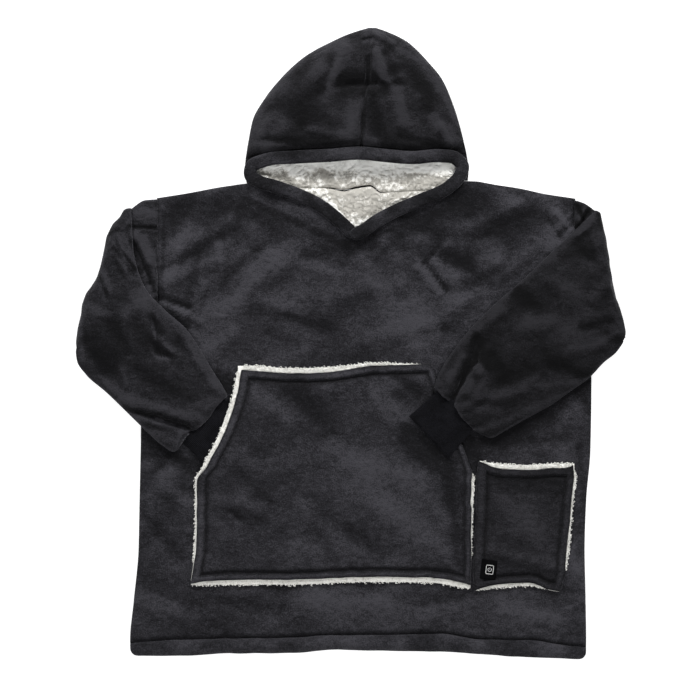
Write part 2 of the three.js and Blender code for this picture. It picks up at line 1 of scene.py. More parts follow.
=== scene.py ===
"""Looks of a wearable blanket hoodie that lies flat with its front up.

Metres, in the frame's own axes: x across, y from the hem to the hood, z up from the surface.
The outlines and sections repeat those of the part's source, measured from the hem and the middle.
"""
import math

import bpy
import numpy as np
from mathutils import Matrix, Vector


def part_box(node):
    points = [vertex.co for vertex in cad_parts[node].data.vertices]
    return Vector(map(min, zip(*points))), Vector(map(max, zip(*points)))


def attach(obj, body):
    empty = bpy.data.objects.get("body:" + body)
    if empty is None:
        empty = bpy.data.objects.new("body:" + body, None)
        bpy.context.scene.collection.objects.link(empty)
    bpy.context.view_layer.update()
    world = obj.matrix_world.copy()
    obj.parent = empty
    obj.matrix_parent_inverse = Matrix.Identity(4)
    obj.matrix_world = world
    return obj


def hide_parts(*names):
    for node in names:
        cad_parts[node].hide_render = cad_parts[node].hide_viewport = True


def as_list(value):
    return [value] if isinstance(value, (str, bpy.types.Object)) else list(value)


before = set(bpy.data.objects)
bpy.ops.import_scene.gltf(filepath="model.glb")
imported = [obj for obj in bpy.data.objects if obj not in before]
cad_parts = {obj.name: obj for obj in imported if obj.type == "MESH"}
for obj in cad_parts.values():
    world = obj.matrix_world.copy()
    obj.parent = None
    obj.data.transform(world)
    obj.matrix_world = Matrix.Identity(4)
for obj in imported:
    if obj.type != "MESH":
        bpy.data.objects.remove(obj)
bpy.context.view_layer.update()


def table(columns, *rows):
    """A table as a list of rows with named columns."""
    names = columns.split()
    return [dict(zip(names, row)) for row in rows]


def mm_table(columns, *rows):
    """A table whose rows are given in millimetres."""
    return table(columns, *[[part / 1000 for part in row] for row in rows])


def fold_table(*rows):
    """Folds from one point to another: the points and the width in mm, the rise in tenths of a mm."""
    names, units = "ax ay bx by rise wide".split(), (1000, 1000, 1000, 1000, 10000, 1000)
    return [{name: part / unit for name, part, unit in zip(names, row, units)} for row in rows]


def side_tables(**sides):
    """For each side of a pocket a table of widths along it."""
    return {side: table("at wide", *rows) for side, rows in sides.items()}


# Driving sizes
WALL = 0.007
SLACK = 0.0014
SEAM = 0.0003
REST = 0.0006
LAYERS = 2 * WALL + SLACK
POCKET_FACE = 0.004
POCKET_PILE = 0.003
POCKET = POCKET_FACE + POCKET_PILE + 2 * SEAM
RIB_WALL = 0.0038
CUFF = 2 * RIB_WALL + SLACK
EDGE_ROUND = 0.016
UNDER_ROUND = 0.007
LINING = 0.005
BAND_WIDE = 0.025
BAND_HIGH = 0.011
HOOD_ROUND = 0.060
HOOD_RIM = 0.0024
HOOD_HIGH = 0.047
HOOD_SIDE_DROP = 0.020
HOOD_PEAK_DROP = 0.006
HOOD_MIDDLE = {"x": 0.012, "y": 1.040, "wide": 0.205, "long": 0.160}
FRONT_RIM = 0.0016
UNDER_LIFT = 0.005
HEM_DEEP = 0.042
TUCK_REACH = {"flat": 0.010, "fall": 0.046}
SLEEVE_REACH = {"flat": 0.003, "fall": 0.090}
POUCH_REACH = {"flat": 0.012, "fall": 0.040}
ARMHOLE = {"left": -0.368, "right": 0.4254, "foot": 0.640}
SHOULDER_END = {"left": 0.877, "right": 0.876}
NECK = {"left": -0.183, "right": 0.196}
FAR = 0.120
PEAK = 1.200
POUCH_SLANT = {"start": 0.342, "over": 0.040}
POUCH_PILE = {"left": 0.004, "slant": 0.012, "right": 0.005, "bottom": 0.011, "top": 0.012}
SIDE_PILE = {"left": 0.0, "slant": 0.0, "right": 0.004, "bottom": 0.009, "top": 0.012}
PATCH = {"x": 0.260, "y": 0.174, "wide": 0.031, "high": 0.038, "thick": 0.0016, "lean": -0.12}
HOOD_LINING = {"left": -0.172, "right": 0.190, "top": 1.020, "drop": 0.060}
BACK_LINING = {"left": -0.092, "right": 0.118}
LINING_CLEAR = 0.001

# How deep and how wide sewn lines are sunk
ARMHOLE_SEWN = {"deep": 0.0035, "wide": 0.0050}
HEM_SEWN = {"deep": 0.0055, "wide": 0.0065}
HOOD_SEWN = {"deep": 0.0060, "wide": 0.0045}

# Steps of the grids, and how many of them one step of a hidden side spans
FRONT_STEPS = (204, 204)
BACK_STEPS = (78, 78)
HOOD_STEPS = (120, 129)
HOOD_BACK_STEPS = (68, 52)
HEM_STEPS = 230
SLEEVE_STEPS = 96
PILE_STEPS = 60
BAND_STEPS = 420
COARSE = 3

# How many curled locks the linings have, and how large locks are
LINING_LOCKS = {"hood_lining": 2600, "back_lining": 1000}
LOCK_SIZE = {"lining": 0.0015, "pocket": 0.0016}

# A crease of this depth takes the nap's tone, painted light and shade included, most of the way to its
# darkest or lightest
NAP_FULL = 0.0045

# Unevenness of each cloth. Puckers: seed and rise. Streaks: seed, degrees, length and width.
FRONT_PUCKERS = (11, 0.0034)
FRONT_STREAKS = ((12, 62, 0.15, 0.036), (13, 124, 0.15, 0.036))
BACK_PUCKERS = (15, 0.0026)
BACK_STREAKS = (16, 80, 0.15, 0.04)
POUCH_PUCKERS = (51, 0.0024)
POUCH_STREAKS = (57, 75, 0.12, 0.04)
HOOD_PUCKERS = (61, 0.0032)
HOOD_STREAKS = ((64, 60, 0.12, 0.036), (65, 118, 0.12, 0.036))
HOOD_BACK_PUCKERS = (66, 0.0024)
HOOD_BACK_STREAKS = (67, 70, 0.12, 0.04)

# Outlines and sections
SIDES = mm_table(
    "y left right",
    (0, -417, 445), (38, -419, 446), (114, -412, 445), (209, -403, 443), (304, -401, 446), (399, -399, 454),
    (532, -397, 456), (598, -384, 443), (640, -368, 425.4), (900, -368, 425.4),
)
HEM = mm_table(
    "x edge stitch",
    (-419, 9, 34), (-340, 9, 39), (-226, 14, 42), (-112, 15, 44), (-32, 21, 49), (48, 19, 49), (169, 17, 51),
    (247, 12, 40), (342, 6, 39), (400, 4, 30), (446, 2, 26),
)
HEM_SECTIONS = table(
    "at thick lift",
    (0, 0.009, 0.004), (0.18, 0.0155, 0.001), (0.5, 0.0185, 0), (0.85, 0.0175, 0), (0.97, 0.0145, 0.0004),
)
SHOULDER = mm_table(
    "x back front",
    (-368, 877, 877), (-317, 885, 885), (-226, 901, 901), (-182, 905, 905), (-146, 901, 899),
    (-101, 896, 882), (-61, 894, 864), (-27, 893, 838), (8, 893, 819), (49, 893, 832), (84, 894, 853),
    (131, 898, 871), (175, 907, 889), (196, 910, 905), (230, 909, 909), (276, 902, 902), (321, 895, 895),
    (367, 885, 885), (425.4, 876, 876),
)
SLEEVE_LEFT = table(
    "ax ay bx by bow turn thick",
    (-0.369, 0.875, -0.369, 0.652, 0, 0, 0.0154), (-0.392, 0.873, -0.432, 0.628, 0.004, 0, 0.0154),
    *[(-0.416, 0.857, -0.512, 0.588, 0.009, turn, 0.0154) for turn in (0, 45, 90, 135, 180)],
    (-0.414, 0.822, -0.516, 0.566, 0.008, 180, 0.016), (-0.411, 0.775, -0.5, 0.54, 0.007, 180, 0.017),
    (-0.391, 0.71, -0.462, 0.507, 0.006, 180, 0.017), (-0.352, 0.665, -0.428, 0.475, 0.003, 180, 0.017),
    (-0.312, 0.629, -0.398, 0.446, 0.002, 180, 0.017), (-0.287, 0.593, -0.376, 0.425, 0, 180, 0.017),
    (-0.262, 0.551, -0.356, 0.408, 0, 180, 0.017), (-0.241, 0.517, -0.338, 0.397, 0, 180, 0.015),
    (-0.235, 0.504, -0.328, 0.402, 0, 180, 0.011),
)
SLEEVE_RIGHT = table(
    "ax ay bx by bow turn thick",
    (0.426, 0.873, 0.426, 0.652, 0, 0, 0.0154), (0.443, 0.867, 0.468, 0.622, 0, 0, 0.0154),
    *[(0.463, 0.853, 0.514, 0.604, -0.004, turn, 0.0154) for turn in (0, 45, 90, 135, 180)],
    (0.44, 0.831, 0.5, 0.583, 0, 180, 0.016), (0.405, 0.798, 0.478, 0.565, 0.002, 180, 0.017),
    (0.365, 0.76, 0.45, 0.536, 0, 180, 0.017), (0.323, 0.72, 0.415, 0.511, 0, 180, 0.017),
    (0.279, 0.682, 0.38, 0.486, 0, 180, 0.017), (0.245, 0.65, 0.35, 0.469, 0, 180, 0.017),
    (0.213, 0.614, 0.319, 0.452, 0, 180, 0.017), (0.188, 0.58, 0.289, 0.435, 0, 180, 0.017),
    (0.166, 0.544, 0.264, 0.422, 0, 180, 0.015), (0.158, 0.519, 0.247, 0.427, 0, 180, 0.011),
)
CUFF_LEFT = mm_table(
    "ax ay bx by",
    (-239, 494.8, -317, 411.4), (-181, 441, -259, 357.6),
)
CUFF_RIGHT = mm_table(
    "ax ay bx by",
    (162.4, 510.6, 231, 439.4), (110, 464, 184, 384),
)
POUCH = mm_table(
    "y left right",
    (154, -299, 221), (190, -294, 223), (262, -291, 224), (342, -291, 228), (370, -270, 220),
    (418, -243, 201), (458, -227, 182), (502, -212, 165), (538, -205, 152), (553, -200, 144),
)
POUCH_ENDS = mm_table(
    "x bottom top",
    (-299, 155, 547), (-200, 156, 547), (-106, 156, 542), (-15, 160, 546), (38, 161, 552), (144, 160, 550),
    (221, 149, 548),
)
SIDE_POCKET = mm_table(
    "y left right",
    (140, 237, 391), (179, 234, 404), (211, 235, 408), (253, 238, 412), (310, 240, 417), (344, 241, 422),
    (365, 244, 418),
)
SIDE_ENDS = mm_table(
    "x bottom top",
    (234, 142, 369), (281, 149, 361), (336, 152, 359), (391, 141, 362), (422, 140, 362),
)
HOOD = mm_table(
    "y left right",
    (906, -198, 221), (927, -202, 223), (950, -200, 221), (988, -194, 213), (1026, -186, 203),
    (1064, -165, 190), (1102, -135, 173), (1140, -95, 142), (1159, -66, 124), (1174, -36, 106),
    (1186, -10, 84), (1195, 16, 62), (1200, 34, 47),
)
HOOD_SEAM = mm_table(
    "y x",
    (960, 19), (1011, 20), (1058, 23), (1096, 30), (1153, 33), (1200, 40),
)
BAND_TOP = mm_table(
    "x y",
    (-205, 952), (-169, 965), (-97, 969), (-30, 974), (19, 979), (55, 974), (116, 969), (169, 974),
    (225, 977),
)
BAND = mm_table(
    "x y z",
    (6, 806, 21.8), (-10, 822, 21.8), (-33, 843, 21.8), (-63, 865, 21.8), (-101, 883, 22.6),
    (-146, 899, 22.6), (-175, 908, 22.4), (-190, 920, 19), (-188, 936, 20), (-165, 947, 25), (-104, 953, 33),
    (-40, 956, 38), (19, 960, 40), (60, 956, 39), (116, 952, 34), (169, 956, 26), (199, 951, 21),
    (211, 937, 19), (206, 919, 21), (186, 898, 22.4), (131, 872, 22.6), (84, 852, 22.6), (49, 833, 27),
    (22, 814, 33.6), (-8, 800, 33.8),
)
FRONT_FOLDS = fold_table(
    (-350, 690, -300, 670, 30, 16), (-250, 800, -60, 700, 30, 40), (-120, 640, 60, 760, 35, 36),
    (120, 790, 190, 700, -30, 26),
)
LEFT_FOLDS = fold_table(
    (-412, 826, -372, 822, -50, 7), (-408, 806, -366, 700, 30, 14), (-372, 630, -350, 578, -40, 12),
    (-402, 470, -308, 441, -50, 9), (-480, 730, -464, 674, 25, 8), (-440, 640, -330, 500, 30, 50),
)
RIGHT_FOLDS = fold_table(
    (238, 590, 194, 496, -50, 10), (262, 560, 224, 480, 40, 20), (436, 866, 426, 830, -40, 6),
    (480, 760, 330, 560, 30, 60),
)
HOOD_FOLDS = fold_table(
    (-32, 1084, 58, 1090, -90, 13), (-14, 1158, -42, 1082, 50, 18), (46, 1150, 58, 1096, 50, 14),
    (34, 1192, 50, 1184, 50, 12), (-130, 1060, -150, 980, 30, 26),
)

# The seam across the back of the neck, and how far it gapes
NECK_SEAM = mm_table(
    "x y gap",
    (-190, 893, -1), (-100, 895, -1), (-60, 896, -0.5), (-40, 897, 2), (-15, 893, 3), (11, 899, 3.4),
    (36, 902, 3), (57, 889, 2), (75, 888, -0.5), (130, 890, -1), (200, 889, -1),
)

LINING_CREASES = fold_table(
    (-129, 931, -93, 847, -26, 5), (-116, 935, -80, 855, 16, 7), (82, 882, 40, 846, -16, 6),
    (-40, 865, -2, 821, 16, 9), (93, 931, 169, 939, 14, 12), (-78, 920, -2, 927, -16, 10),
)

# Painted light and shade on the sherpa in the mouth: lighter towards the band, darker near the neck seam and
# in its folds
LINING_PAINTED_STROKES = fold_table(
    (-104, 939, 65, 935, 40, 7), (-74, 897, -19, 849, 15, 5), (63, 846, 162, 883, 40, 5),
    (-6, 819, 25, 834, 40, 5), (-55, 931, -29, 897, -90, 6), (-29, 887, 36, 885, -60, 9),
    (42, 887, 48, 859, -90, 6), (-2, 863, 36, 859, -50, 10), (86, 882, 139, 904, -50, 5),
    (-127, 918, -97, 901, -50, 8), (101, 916, 169, 908, -40, 12), (-169, 927, -135, 912, -40, 8),
    (-59, 931, -17, 851, -80, 3),
)

# How far the pockets' pile shows past their flannel along each side, from start to end
POUCH_SHOWS = side_tables(
    top=((0, 0.007), (0.1, 0.0095), (0.45, 0.009), (0.62, 0.006), (0.8, 0.003), (0.93, 0.001), (1, 0)),
    bottom=((0, 0.003), (0.05, 0.007), (0.3, 0.0095), (0.7, 0.0095), (0.95, 0.009), (1, 0.006)),
    left=((0, 0), (0.08, 0.001), (0.14, 0.0035), (0.46, 0.0035), (0.52, 0.0075), (0.7, 0.0095), (1, 0.008)),
    right=((0, 0), (0.09, 0), (0.13, 0.001), (0.35, 0.002), (0.38, 0.005), (0.48, 0.005), (0.53, 0), (1, 0)),
)
SIDE_SHOWS = side_tables(
    top=((0, 0), (0.05, 0.001), (0.14, 0.006), (0.3, 0.0085), (0.9, 0.008), (0.96, 0.006), (1, 0.002)),
    bottom=((0, -0.001), (0.05, 0.002), (0.3, 0.006), (0.6, 0.0055), (0.78, 0.003), (0.85, 0), (1, 0)),
    left=((0, -0.003), (1, -0.003)),
    right=((0, 0), (0.12, 0), (0.2, 0.003), (0.35, 0.004), (0.6, 0.0025), (0.93, 0.004), (1, 0.002)),
)
# How far in from each edge the pockets are sewn
POUCH_SEWN = {"top": 0.0165, "bottom": 0.0135, "left": 0.0175, "right": 0.0125}
SIDE_SEWN = {"top": 0.0165, "bottom": 0.0145, "left": 0.0195, "right": 0.0150}
# Each pocket: its outline, its pile and seams, the steps of its grid, and its locks along each side
POCKETS = {
    "pouch_pocket": {
        "rows": POUCH,
        "ends": POUCH_ENDS,
        "border": POUCH_PILE,
        "shows": POUCH_SHOWS,
        "sewn": POUCH_SEWN,
        "steps": (210, 180),
        "locks": {"left": 1100, "right": 900, "bottom": 1700, "top": 1700},
    },
    "side_pocket": {
        "rows": SIDE_POCKET,
        "ends": SIDE_ENDS,
        "border": SIDE_PILE,
        "shows": SIDE_SHOWS,
        "sewn": SIDE_SEWN,
        "steps": (129, 141),
        "locks": {"left": 0, "right": 405, "bottom": 765, "top": 765},
    },
}

# Finer creases that only the looks have
FRONT_CREASES = fold_table(
    (-361, 686, -308, 667, -50, 6), (-351, 673, -287, 642, 30, 9), (-363, 642, -314, 627, -30, 7),
    (-357, 713, -258, 756, 26, 12), (-348, 741, -220, 813, -24, 10), (-325, 779, -211, 846, 30, 15),
    (-277, 684, -169, 779, -26, 12), (-258, 650, -116, 756, 30, 16), (-116, 650, -55, 627, -36, 12),
    (-169, 684, -97, 650, 24, 14), (-40, 684, 93, 713, 26, 20), (-97, 756, -21, 779, -22, 14),
    (141, 752, 182, 699, -46, 6), (127, 745, 165, 692, 34, 8), (163, 779, 144, 754, -28, 6),
    (182, 785, 163, 775, 30, 8), (188, 764, 226, 737, -36, 10), (198, 718, 283, 756, 26, 14),
    (245, 798, 340, 846, -26, 12), (226, 821, 312, 865, 30, 16), (293, 713, 359, 769, -22, 12),
    (390, 846, 416, 813, 30, 7), (374, 832, 397, 798, -26, 6), (162, 627, 211, 684, 26, 15),
    (93, 599, 169, 627, -22, 12), (-201, 827, -144, 756, 22, 16), (48, 756, 93, 684, -24, 12),
    (59, 798, 89, 756, 28, 12), (-382, 361, -315, 294, 26, 16), (-386, 266, -325, 190, -24, 12),
    (-401, 114, -306, 80, 26, 16), (-268, 114, -135, 91, -20, 14), (-97, 114, 55, 103, 22, 20),
    (131, 103, 226, 122, -22, 14), (283, 95, 397, 72, 26, 16), (431, 399, 447, 247, -26, 8),
    (420, 190, 443, 114, 22, 10), (283, 407, 397, 418, -24, 16), (245, 408, 226, 361, -30, 10),
    (-353, 390, -302, 365, -32, 10),
)
LEFT_CREASES = fold_table(
    (-418, 826, -370, 822, 30, 7), (-418, 822, -368, 819, -45, 3), (-412, 838, -370, 842, 12, 10),
    (-407, 806, -382, 756, 36, 8), (-382, 756, -363, 692, 38, 7), (-408, 788, -378, 714, -55, 4),
    (-382, 714, -363, 680, -40, 5), (-439, 785, -405, 745, 32, 4), (-447, 779, -412, 733, -32, 5),
    (-477, 726, -464, 688, -36, 4), (-467, 730, -454, 692, 26, 5), (-376, 602, -363, 580, -60, 6),
    (-363, 581, -346, 576, -50, 5), (-363, 608, -340, 585, 36, 7), (-372, 646, -370, 625, -26, 4),
    (-426, 475, -363, 458, -50, 6), (-363, 458, -310, 441, -60, 6), (-420, 490, -306, 458, 36, 11),
    (-433, 551, -424, 517, 24, 6), (-454, 627, -420, 585, -26, 10), (-424, 650, -382, 684, 28, 14),
    (-496, 665, -454, 650, 26, 10), (-503, 599, -469, 547, -28, 10), (-340, 650, -294, 585, 30, 10),
    (-325, 599, -276, 536, -26, 10), (-294, 570, -249, 509, 32, 9), (-401, 547, -340, 509, -26, 14),
    (-462, 521, -412, 475, 28, 9), (-469, 802, -439, 813, -28, 6), (-441, 787, -407, 741, -25, 4),
    (-374, 646, -363, 581, -20, 5),
)
RIGHT_CREASES = fold_table(
    (448, 849, 433, 821, -46, 4), (433, 821, 410, 806, -36, 4), (454, 832, 435, 806, 34, 6),
    (466, 846, 473, 817, -26, 6), (236, 608, 236, 566, -60, 7), (236, 566, 211, 528, -65, 6),
    (211, 528, 194, 496, -65, 5), (257, 589, 245, 551, 46, 10), (241, 543, 218, 509, 42, 9),
    (211, 574, 188, 528, 34, 8), (253, 597, 276, 555, -30, 10), (308, 703, 340, 673, -30, 12),
    (351, 779, 397, 741, 28, 16), (369, 722, 435, 684, 26, 16), (397, 813, 454, 756, -26, 12),
    (321, 627, 382, 642, 28, 14), (378, 555, 447, 536, -30, 12), (435, 627, 492, 642, -30, 10),
    (458, 684, 484, 711, 26, 12), (283, 522, 340, 547, -28, 14), (260, 494, 321, 509, 30, 12),
    (218, 471, 257, 490, -26, 8), (473, 599, 503, 619, 24, 8), (416, 585, 473, 597, 24, 12),
    (283, 661, 241, 627, 28, 12), (429, 861, 441, 832, -30, 4), (454, 859, 439, 832, -30, 4),
)
HOOD_CREASES = fold_table(
    (-10, 1088, 49, 1092, -34, 5), (-20, 1078, 51, 1082, 34, 9), (-11, 1159, -38, 1087, 46, 9),
    (-25, 1140, -55, 1073, -34, 9), (48, 1149, 59, 1098, 44, 7), (63, 1144, 78, 1094, -36, 9),
    (34, 1140, 34, 1093, -34, 5), (67, 1091, 93, 1102, 34, 8), (29, 1064, 2, 1003, 34, 10),
    (40, 1064, 48, 992, -36, 9), (86, 1072, 97, 1018, 36, 10), (-154, 1026, -169, 996, 34, 10),
    (-135, 1049, -97, 1011, -28, 16), (-97, 1073, -59, 1111, 28, 16), (131, 1064, 162, 1007, 32, 12),
    (169, 1011, 188, 977, 36, 7), (146, 1041, 169, 984, -30, 8), (36, 1195, 49, 1184, 40, 6),
    (25, 1174, 40, 1178, -34, 4), (63, 1178, 78, 1167, 26, 8), (-182, 988, -97, 977, -26, 8),
    (93, 988, 169, 973, -28, 8), (-78, 1003, -2, 988, 28, 10),
)
POUCH_CREASES = fold_table(
    (-116, 503, -59, 456, -24, 18), (-230, 437, -154, 361, 26, 24), (-40, 380, 131, 342, 22, 30),
    (48, 509, 97, 456, 28, 16), (86, 532, 131, 503, -34, 12), (131, 418, 188, 370, -36, 14),
    (40, 304, 192, 190, 22, 20), (-78, 304, -40, 190, -20, 16), (-226, 281, -211, 266, -30, 6),
    (-258, 304, -182, 285, 26, 14), (-2, 247, 55, 190, -22, 14), (283, 304, 359, 228, 22, 20),
    (264, 209, 378, 179, 26, 12), (180, 342, 207, 228, -28, 12), (274, 342, 397, 334, -18, 8),
)

# Painted shade and highlights, with lighter or darker nap, without height: shadows under the sleeves, cuffs
# and band, dark creases and light ridges
FRONT_PAINTED_STROKES = fold_table(
    (-325, 846, -220, 865, -30, 26), (-192, 741, -97, 798, 30, 24), (-287, 627, -211, 684, 30, 20),
    (-116, 646, -40, 627, -30, 20), (169, 779, 226, 741, -40, 16), (93, 627, 169, 722, 30, 30),
    (283, 817, 359, 846, -30, 18), (321, 760, 397, 798, 25, 20), (-201, 855, -144, 832, -35, 16),
    (169, 846, 245, 874, -40, 18), (-97, 114, 131, 95, 20, 24), (226, 408, 283, 418, -50, 22),
    (302, 437, 397, 484, -40, 16), (397, 494, 447, 522, -40, 12), (-382, 395, -296, 361, -40, 14),
    (-399, 426, -325, 388, -40, 9), (-237, 532, -218, 517, -60, 12), (101, 418, 123, 395, -30, 10),
    (198, 361, 230, 338, -50, 12), (-40, 570, 131, 585, -20, 12), (-255, 538, -211, 507, -80, 11),
    (-372, 361, -329, 399, -50, 8), (108, 433, 180, 369, -60, 9), (220, 424, 245, 361, -70, 9),
    (253, 447, 321, 471, -60, 7), (359, 490, 447, 532, -50, 8), (-314, 827, -353, 713, 30, 12),
    (-287, 779, -310, 684, -30, 9), (-258, 807, -245, 756, 30, 8), (-211, 703, -158, 756, 35, 9),
    (141, 754, 182, 703, -30, 5), (162, 764, 198, 730, 35, 7), (179, 756, 226, 756, -50, 11),
    (198, 684, 245, 703, 35, 10), (236, 760, 283, 779, 30, 10), (-192, 893, -211, 846, -40, 10),
    (207, 902, 226, 846, -40, 8), (-97, 756, -2, 732, 30, 10), (-21, 684, 55, 703, -25, 12),
    (55, 627, 150, 646, 30, 10), (-353, 684, -315, 627, -25, 10), (-287, 589, -220, 627, 30, 12),
    (-154, 627, -97, 599, -25, 10), (393, 806, 424, 832, -70, 5), (401, 794, 424, 809, 50, 5),
    (390, 821, 416, 847, 40, 5), (154, 509, 180, 456, -40, 6), (198, 865, 359, 832, -25, 26),
    (-258, 813, -40, 806, -20, 26), (-2, 790, 131, 779, -40, 14), (-192, 870, -97, 828, -50, 6),
    (-97, 828, -11, 788, -50, 6), (40, 802, 150, 842, -50, 8), (150, 842, 226, 880, -50, 8),
    (-353, 846, -359, 703, -30, 5), (218, 410, 249, 361, -80, 8), (258, 418, 378, 460, -70, 12),
    (283, 433, 369, 471, -50, 10), (426, 522, 452, 475, -50, 8), (93, 846, 169, 813, -60, 12),
    (78, 798, 150, 827, -40, 8), (403, 832, 450, 859, -50, 5), (408, 813, 435, 832, 40, 5),
)
LEFT_PAINTED_STROKES = fold_table(
    (-458, 703, -439, 589, -25, 14), (-496, 627, -458, 551, -30, 16), (-401, 684, -344, 627, 25, 16),
    (-306, 589, -258, 522, 30, 12), (-439, 817, -424, 760, 25, 8), (-382, 532, -306, 494, -25, 16),
    (-467, 532, -401, 475, 25, 12), (-477, 769, -454, 684, 20, 8), (-424, 684, -382, 599, -20, 12),
    (-287, 486, -245, 502, 30, 7), (-408, 847, -370, 847, 35, 7), (-418, 821, -369, 819, -55, 5),
    (-405, 802, -378, 756, 40, 9), (-382, 745, -369, 699, -35, 5), (-416, 798, -397, 737, -45, 4),
    (-429, 807, -408, 756, 30, 4), (-447, 764, -431, 730, -35, 4), (-376, 655, -359, 627, -50, 8),
    (-382, 612, -351, 604, -25, 6), (-448, 456, -334, 418, 30, 8), (-306, 484, -276, 452, 35, 7),
    (-401, 447, -315, 441, -35, 5), (-515, 684, -507, 570, 30, 6), (-277, 589, -245, 522, 35, 6),
    (-418, 827, -370, 825, 30, 4), (-437, 798, -424, 741, 30, 3), (-274, 479, -241, 498, 40, 5),
    (-321, 433, -329, 407, 50, 4), (-412, 863, -370, 844, 40, 8), (-414, 832, -367, 825, -40, 3),
    (-412, 809, -397, 787, 50, 5), (-390, 802, -370, 756, 40, 6), (-441, 787, -407, 741, -50, 3),
    (-448, 792, -414, 745, 50, 3), (-477, 728, -464, 690, 50, 2), (-374, 646, -370, 608, 50, 3),
    (-382, 604, -363, 581, -50, 4), (-363, 589, -348, 574, 50, 3), (-323, 437, -300, 448, 40, 2),
)
RIGHT_PAINTED_STROKES = fold_table(
    (245, 589, 283, 547, -50, 14), (312, 703, 350, 665, -30, 14), (397, 760, 454, 779, -30, 14),
    (464, 798, 496, 684, 25, 9), (359, 589, 435, 541, -30, 12), (340, 646, 416, 627, 25, 16),
    (264, 661, 359, 756, 30, 9), (245, 684, 293, 713, 25, 10), (207, 484, 283, 475, 30, 8),
    (473, 627, 507, 608, -30, 10), (162, 526, 188, 547, 25, 7), (397, 684, 473, 646, 20, 14),
    (397, 840, 447, 806, -50, 5), (408, 855, 454, 828, 35, 5), (241, 599, 268, 559, -50, 10),
    (253, 547, 237, 509, 35, 8), (218, 566, 196, 509, -35, 5), (298, 713, 333, 673, -35, 12),
    (226, 627, 198, 585, 35, 8), (473, 779, 484, 703, -25, 8), (359, 522, 454, 532, 30, 8),
    (245, 437, 397, 503, 30, 7), (369, 756, 454, 832, 30, 5), (492, 665, 515, 627, 30, 6),
    (236, 564, 198, 502, 50, 3), (429, 825, 450, 847, -70, 3), (435, 813, 458, 832, 50, 3),
    (427, 802, 443, 813, -40, 3), (241, 604, 257, 562, -90, 7), (226, 562, 234, 536, -50, 7),
    (429, 861, 441, 832, -60, 3), (443, 859, 431, 825, 50, 3), (454, 859, 439, 832, -60, 3),
    (466, 851, 416, 806, 40, 3),
)
HOOD_PAINTED_STROKES = fold_table(
    (-11, 1155, -40, 1079, 45, 10), (49, 1144, 59, 1094, 45, 7), (89, 1079, 97, 1018, 45, 11),
    (154, 1030, 180, 984, 45, 9), (-177, 1045, -180, 999, 45, 10), (2, 1054, -2, 992, 30, 9),
    (-11, 1106, 40, 1102, -60, 9), (-154, 1045, -59, 1083, -30, 22), (40, 1054, 63, 984, -50, 10),
    (112, 1121, 150, 1064, -30, 14), (-97, 1140, -40, 1169, 30, 10), (131, 1140, 169, 1083, 35, 8),
    (-154, 988, -21, 977, -30, 7), (74, 977, 169, 973, -40, 7), (29, 1178, 48, 1193, 30, 6),
    (-135, 988, -78, 1026, -20, 16), (-30, 1102, 29, 1098, -60, 9), (40, 1113, 63, 1091, -60, 6),
    (-32, 1079, 9, 1075, 35, 6), (-112, 1140, -169, 1045, 35, 8), (-182, 1011, -169, 988, 30, 8),
    (169, 1102, 203, 1018, 30, 7), (184, 1011, 203, 984, 35, 7), (-2, 1041, 29, 980, 30, 10),
    (29, 1140, 29, 1094, -30, 4), (30, 1087, 19, 977, -50, 4), (40, 1159, 32, 1094, -40, 4),
    (-11, 1155, -36, 1083, 40, 8), (93, 1079, 101, 1018, 40, 9), (158, 1030, 184, 984, 40, 7),
    (-177, 1049, -180, 999, 40, 8), (-135, 1111, -169, 1064, 30, 8), (-78, 1140, -104, 1083, -30, 14),
    (-97, 1045, -40, 1007, -35, 18), (131, 1094, 146, 1045, -40, 10), (-169, 1056, -196, 969, 40, 5),
    (-97, 1136, -154, 1079, 40, 6), (165, 1102, 198, 1026, 40, 5), (84, 1159, 141, 1132, 40, 5),
    (-40, 1140, -11, 1083, -40, 9), (84, 1121, 103, 1045, -40, 9),
)
POUCH_PAINTED_STROKES = fold_table(
    (-97, 513, -40, 437, -25, 20), (-211, 437, -169, 390, -30, 16), (93, 513, 142, 494, -30, 16),
    (108, 418, 188, 361, -50, 16), (-2, 342, 131, 247, 25, 34), (-230, 294, -169, 266, -25, 14),
    (180, 361, 203, 190, -30, 9), (-258, 171, 207, 175, -15, 6), (283, 333, 397, 323, -30, 8),
    (321, 266, 378, 190, 20, 20), (-97, 228, 93, 190, 20, 20), (63, 536, 93, 524, 25, 10),
    (93, 361, 188, 266, 30, 16), (-182, 513, -116, 456, 30, 12), (-40, 418, 36, 361, 25, 16),
    (-211, 361, -154, 304, -25, 12), (-97, 304, -21, 228, 25, 14), (40, 503, 78, 456, 30, 8),
    (180, 190, 207, 167, 30, 6), (104, 441, 180, 361, -90, 9), (150, 395, 211, 323, -40, 10),
    (110, 437, 179, 369, -80, 9), (101, 418, 150, 361, -40, 10), (169, 503, 192, 456, -40, 6),
)


def column(rows, name):
    return np.array([row[name] for row in rows], float)


def lerp(start, end, t):
    return start + (end - start) * t


def through(rows, start, value):
    """A smooth line through two columns of a table, which never overshoots its rows."""
    return smooth_line(column(rows, start), column(rows, value))


def smooth_line(at, got):
    steps = np.diff(got) / np.diff(at)
    before = np.concatenate((steps[:1], steps))
    after = np.concatenate((steps, steps[-1:]))
    both = np.where(before + after == 0, 1, before + after)
    slopes = np.where(before * after > 0, 2 * before * after / both, 0)

    def value_at(x):
        x = np.asarray(x, float)
        i = np.clip(np.searchsorted(at, x, side="right") - 1, 0, len(at) - 2)
        span = at[i + 1] - at[i]
        t = np.clip((x - at[i]) / span, 0, 1)
        bend = t * (1 - t) * (slopes[i] * (1 - t) - slopes[i + 1] * t) * span
        return lerp(got[i], got[i + 1], (3 - 2 * t) * t * t) + bend

    return value_at


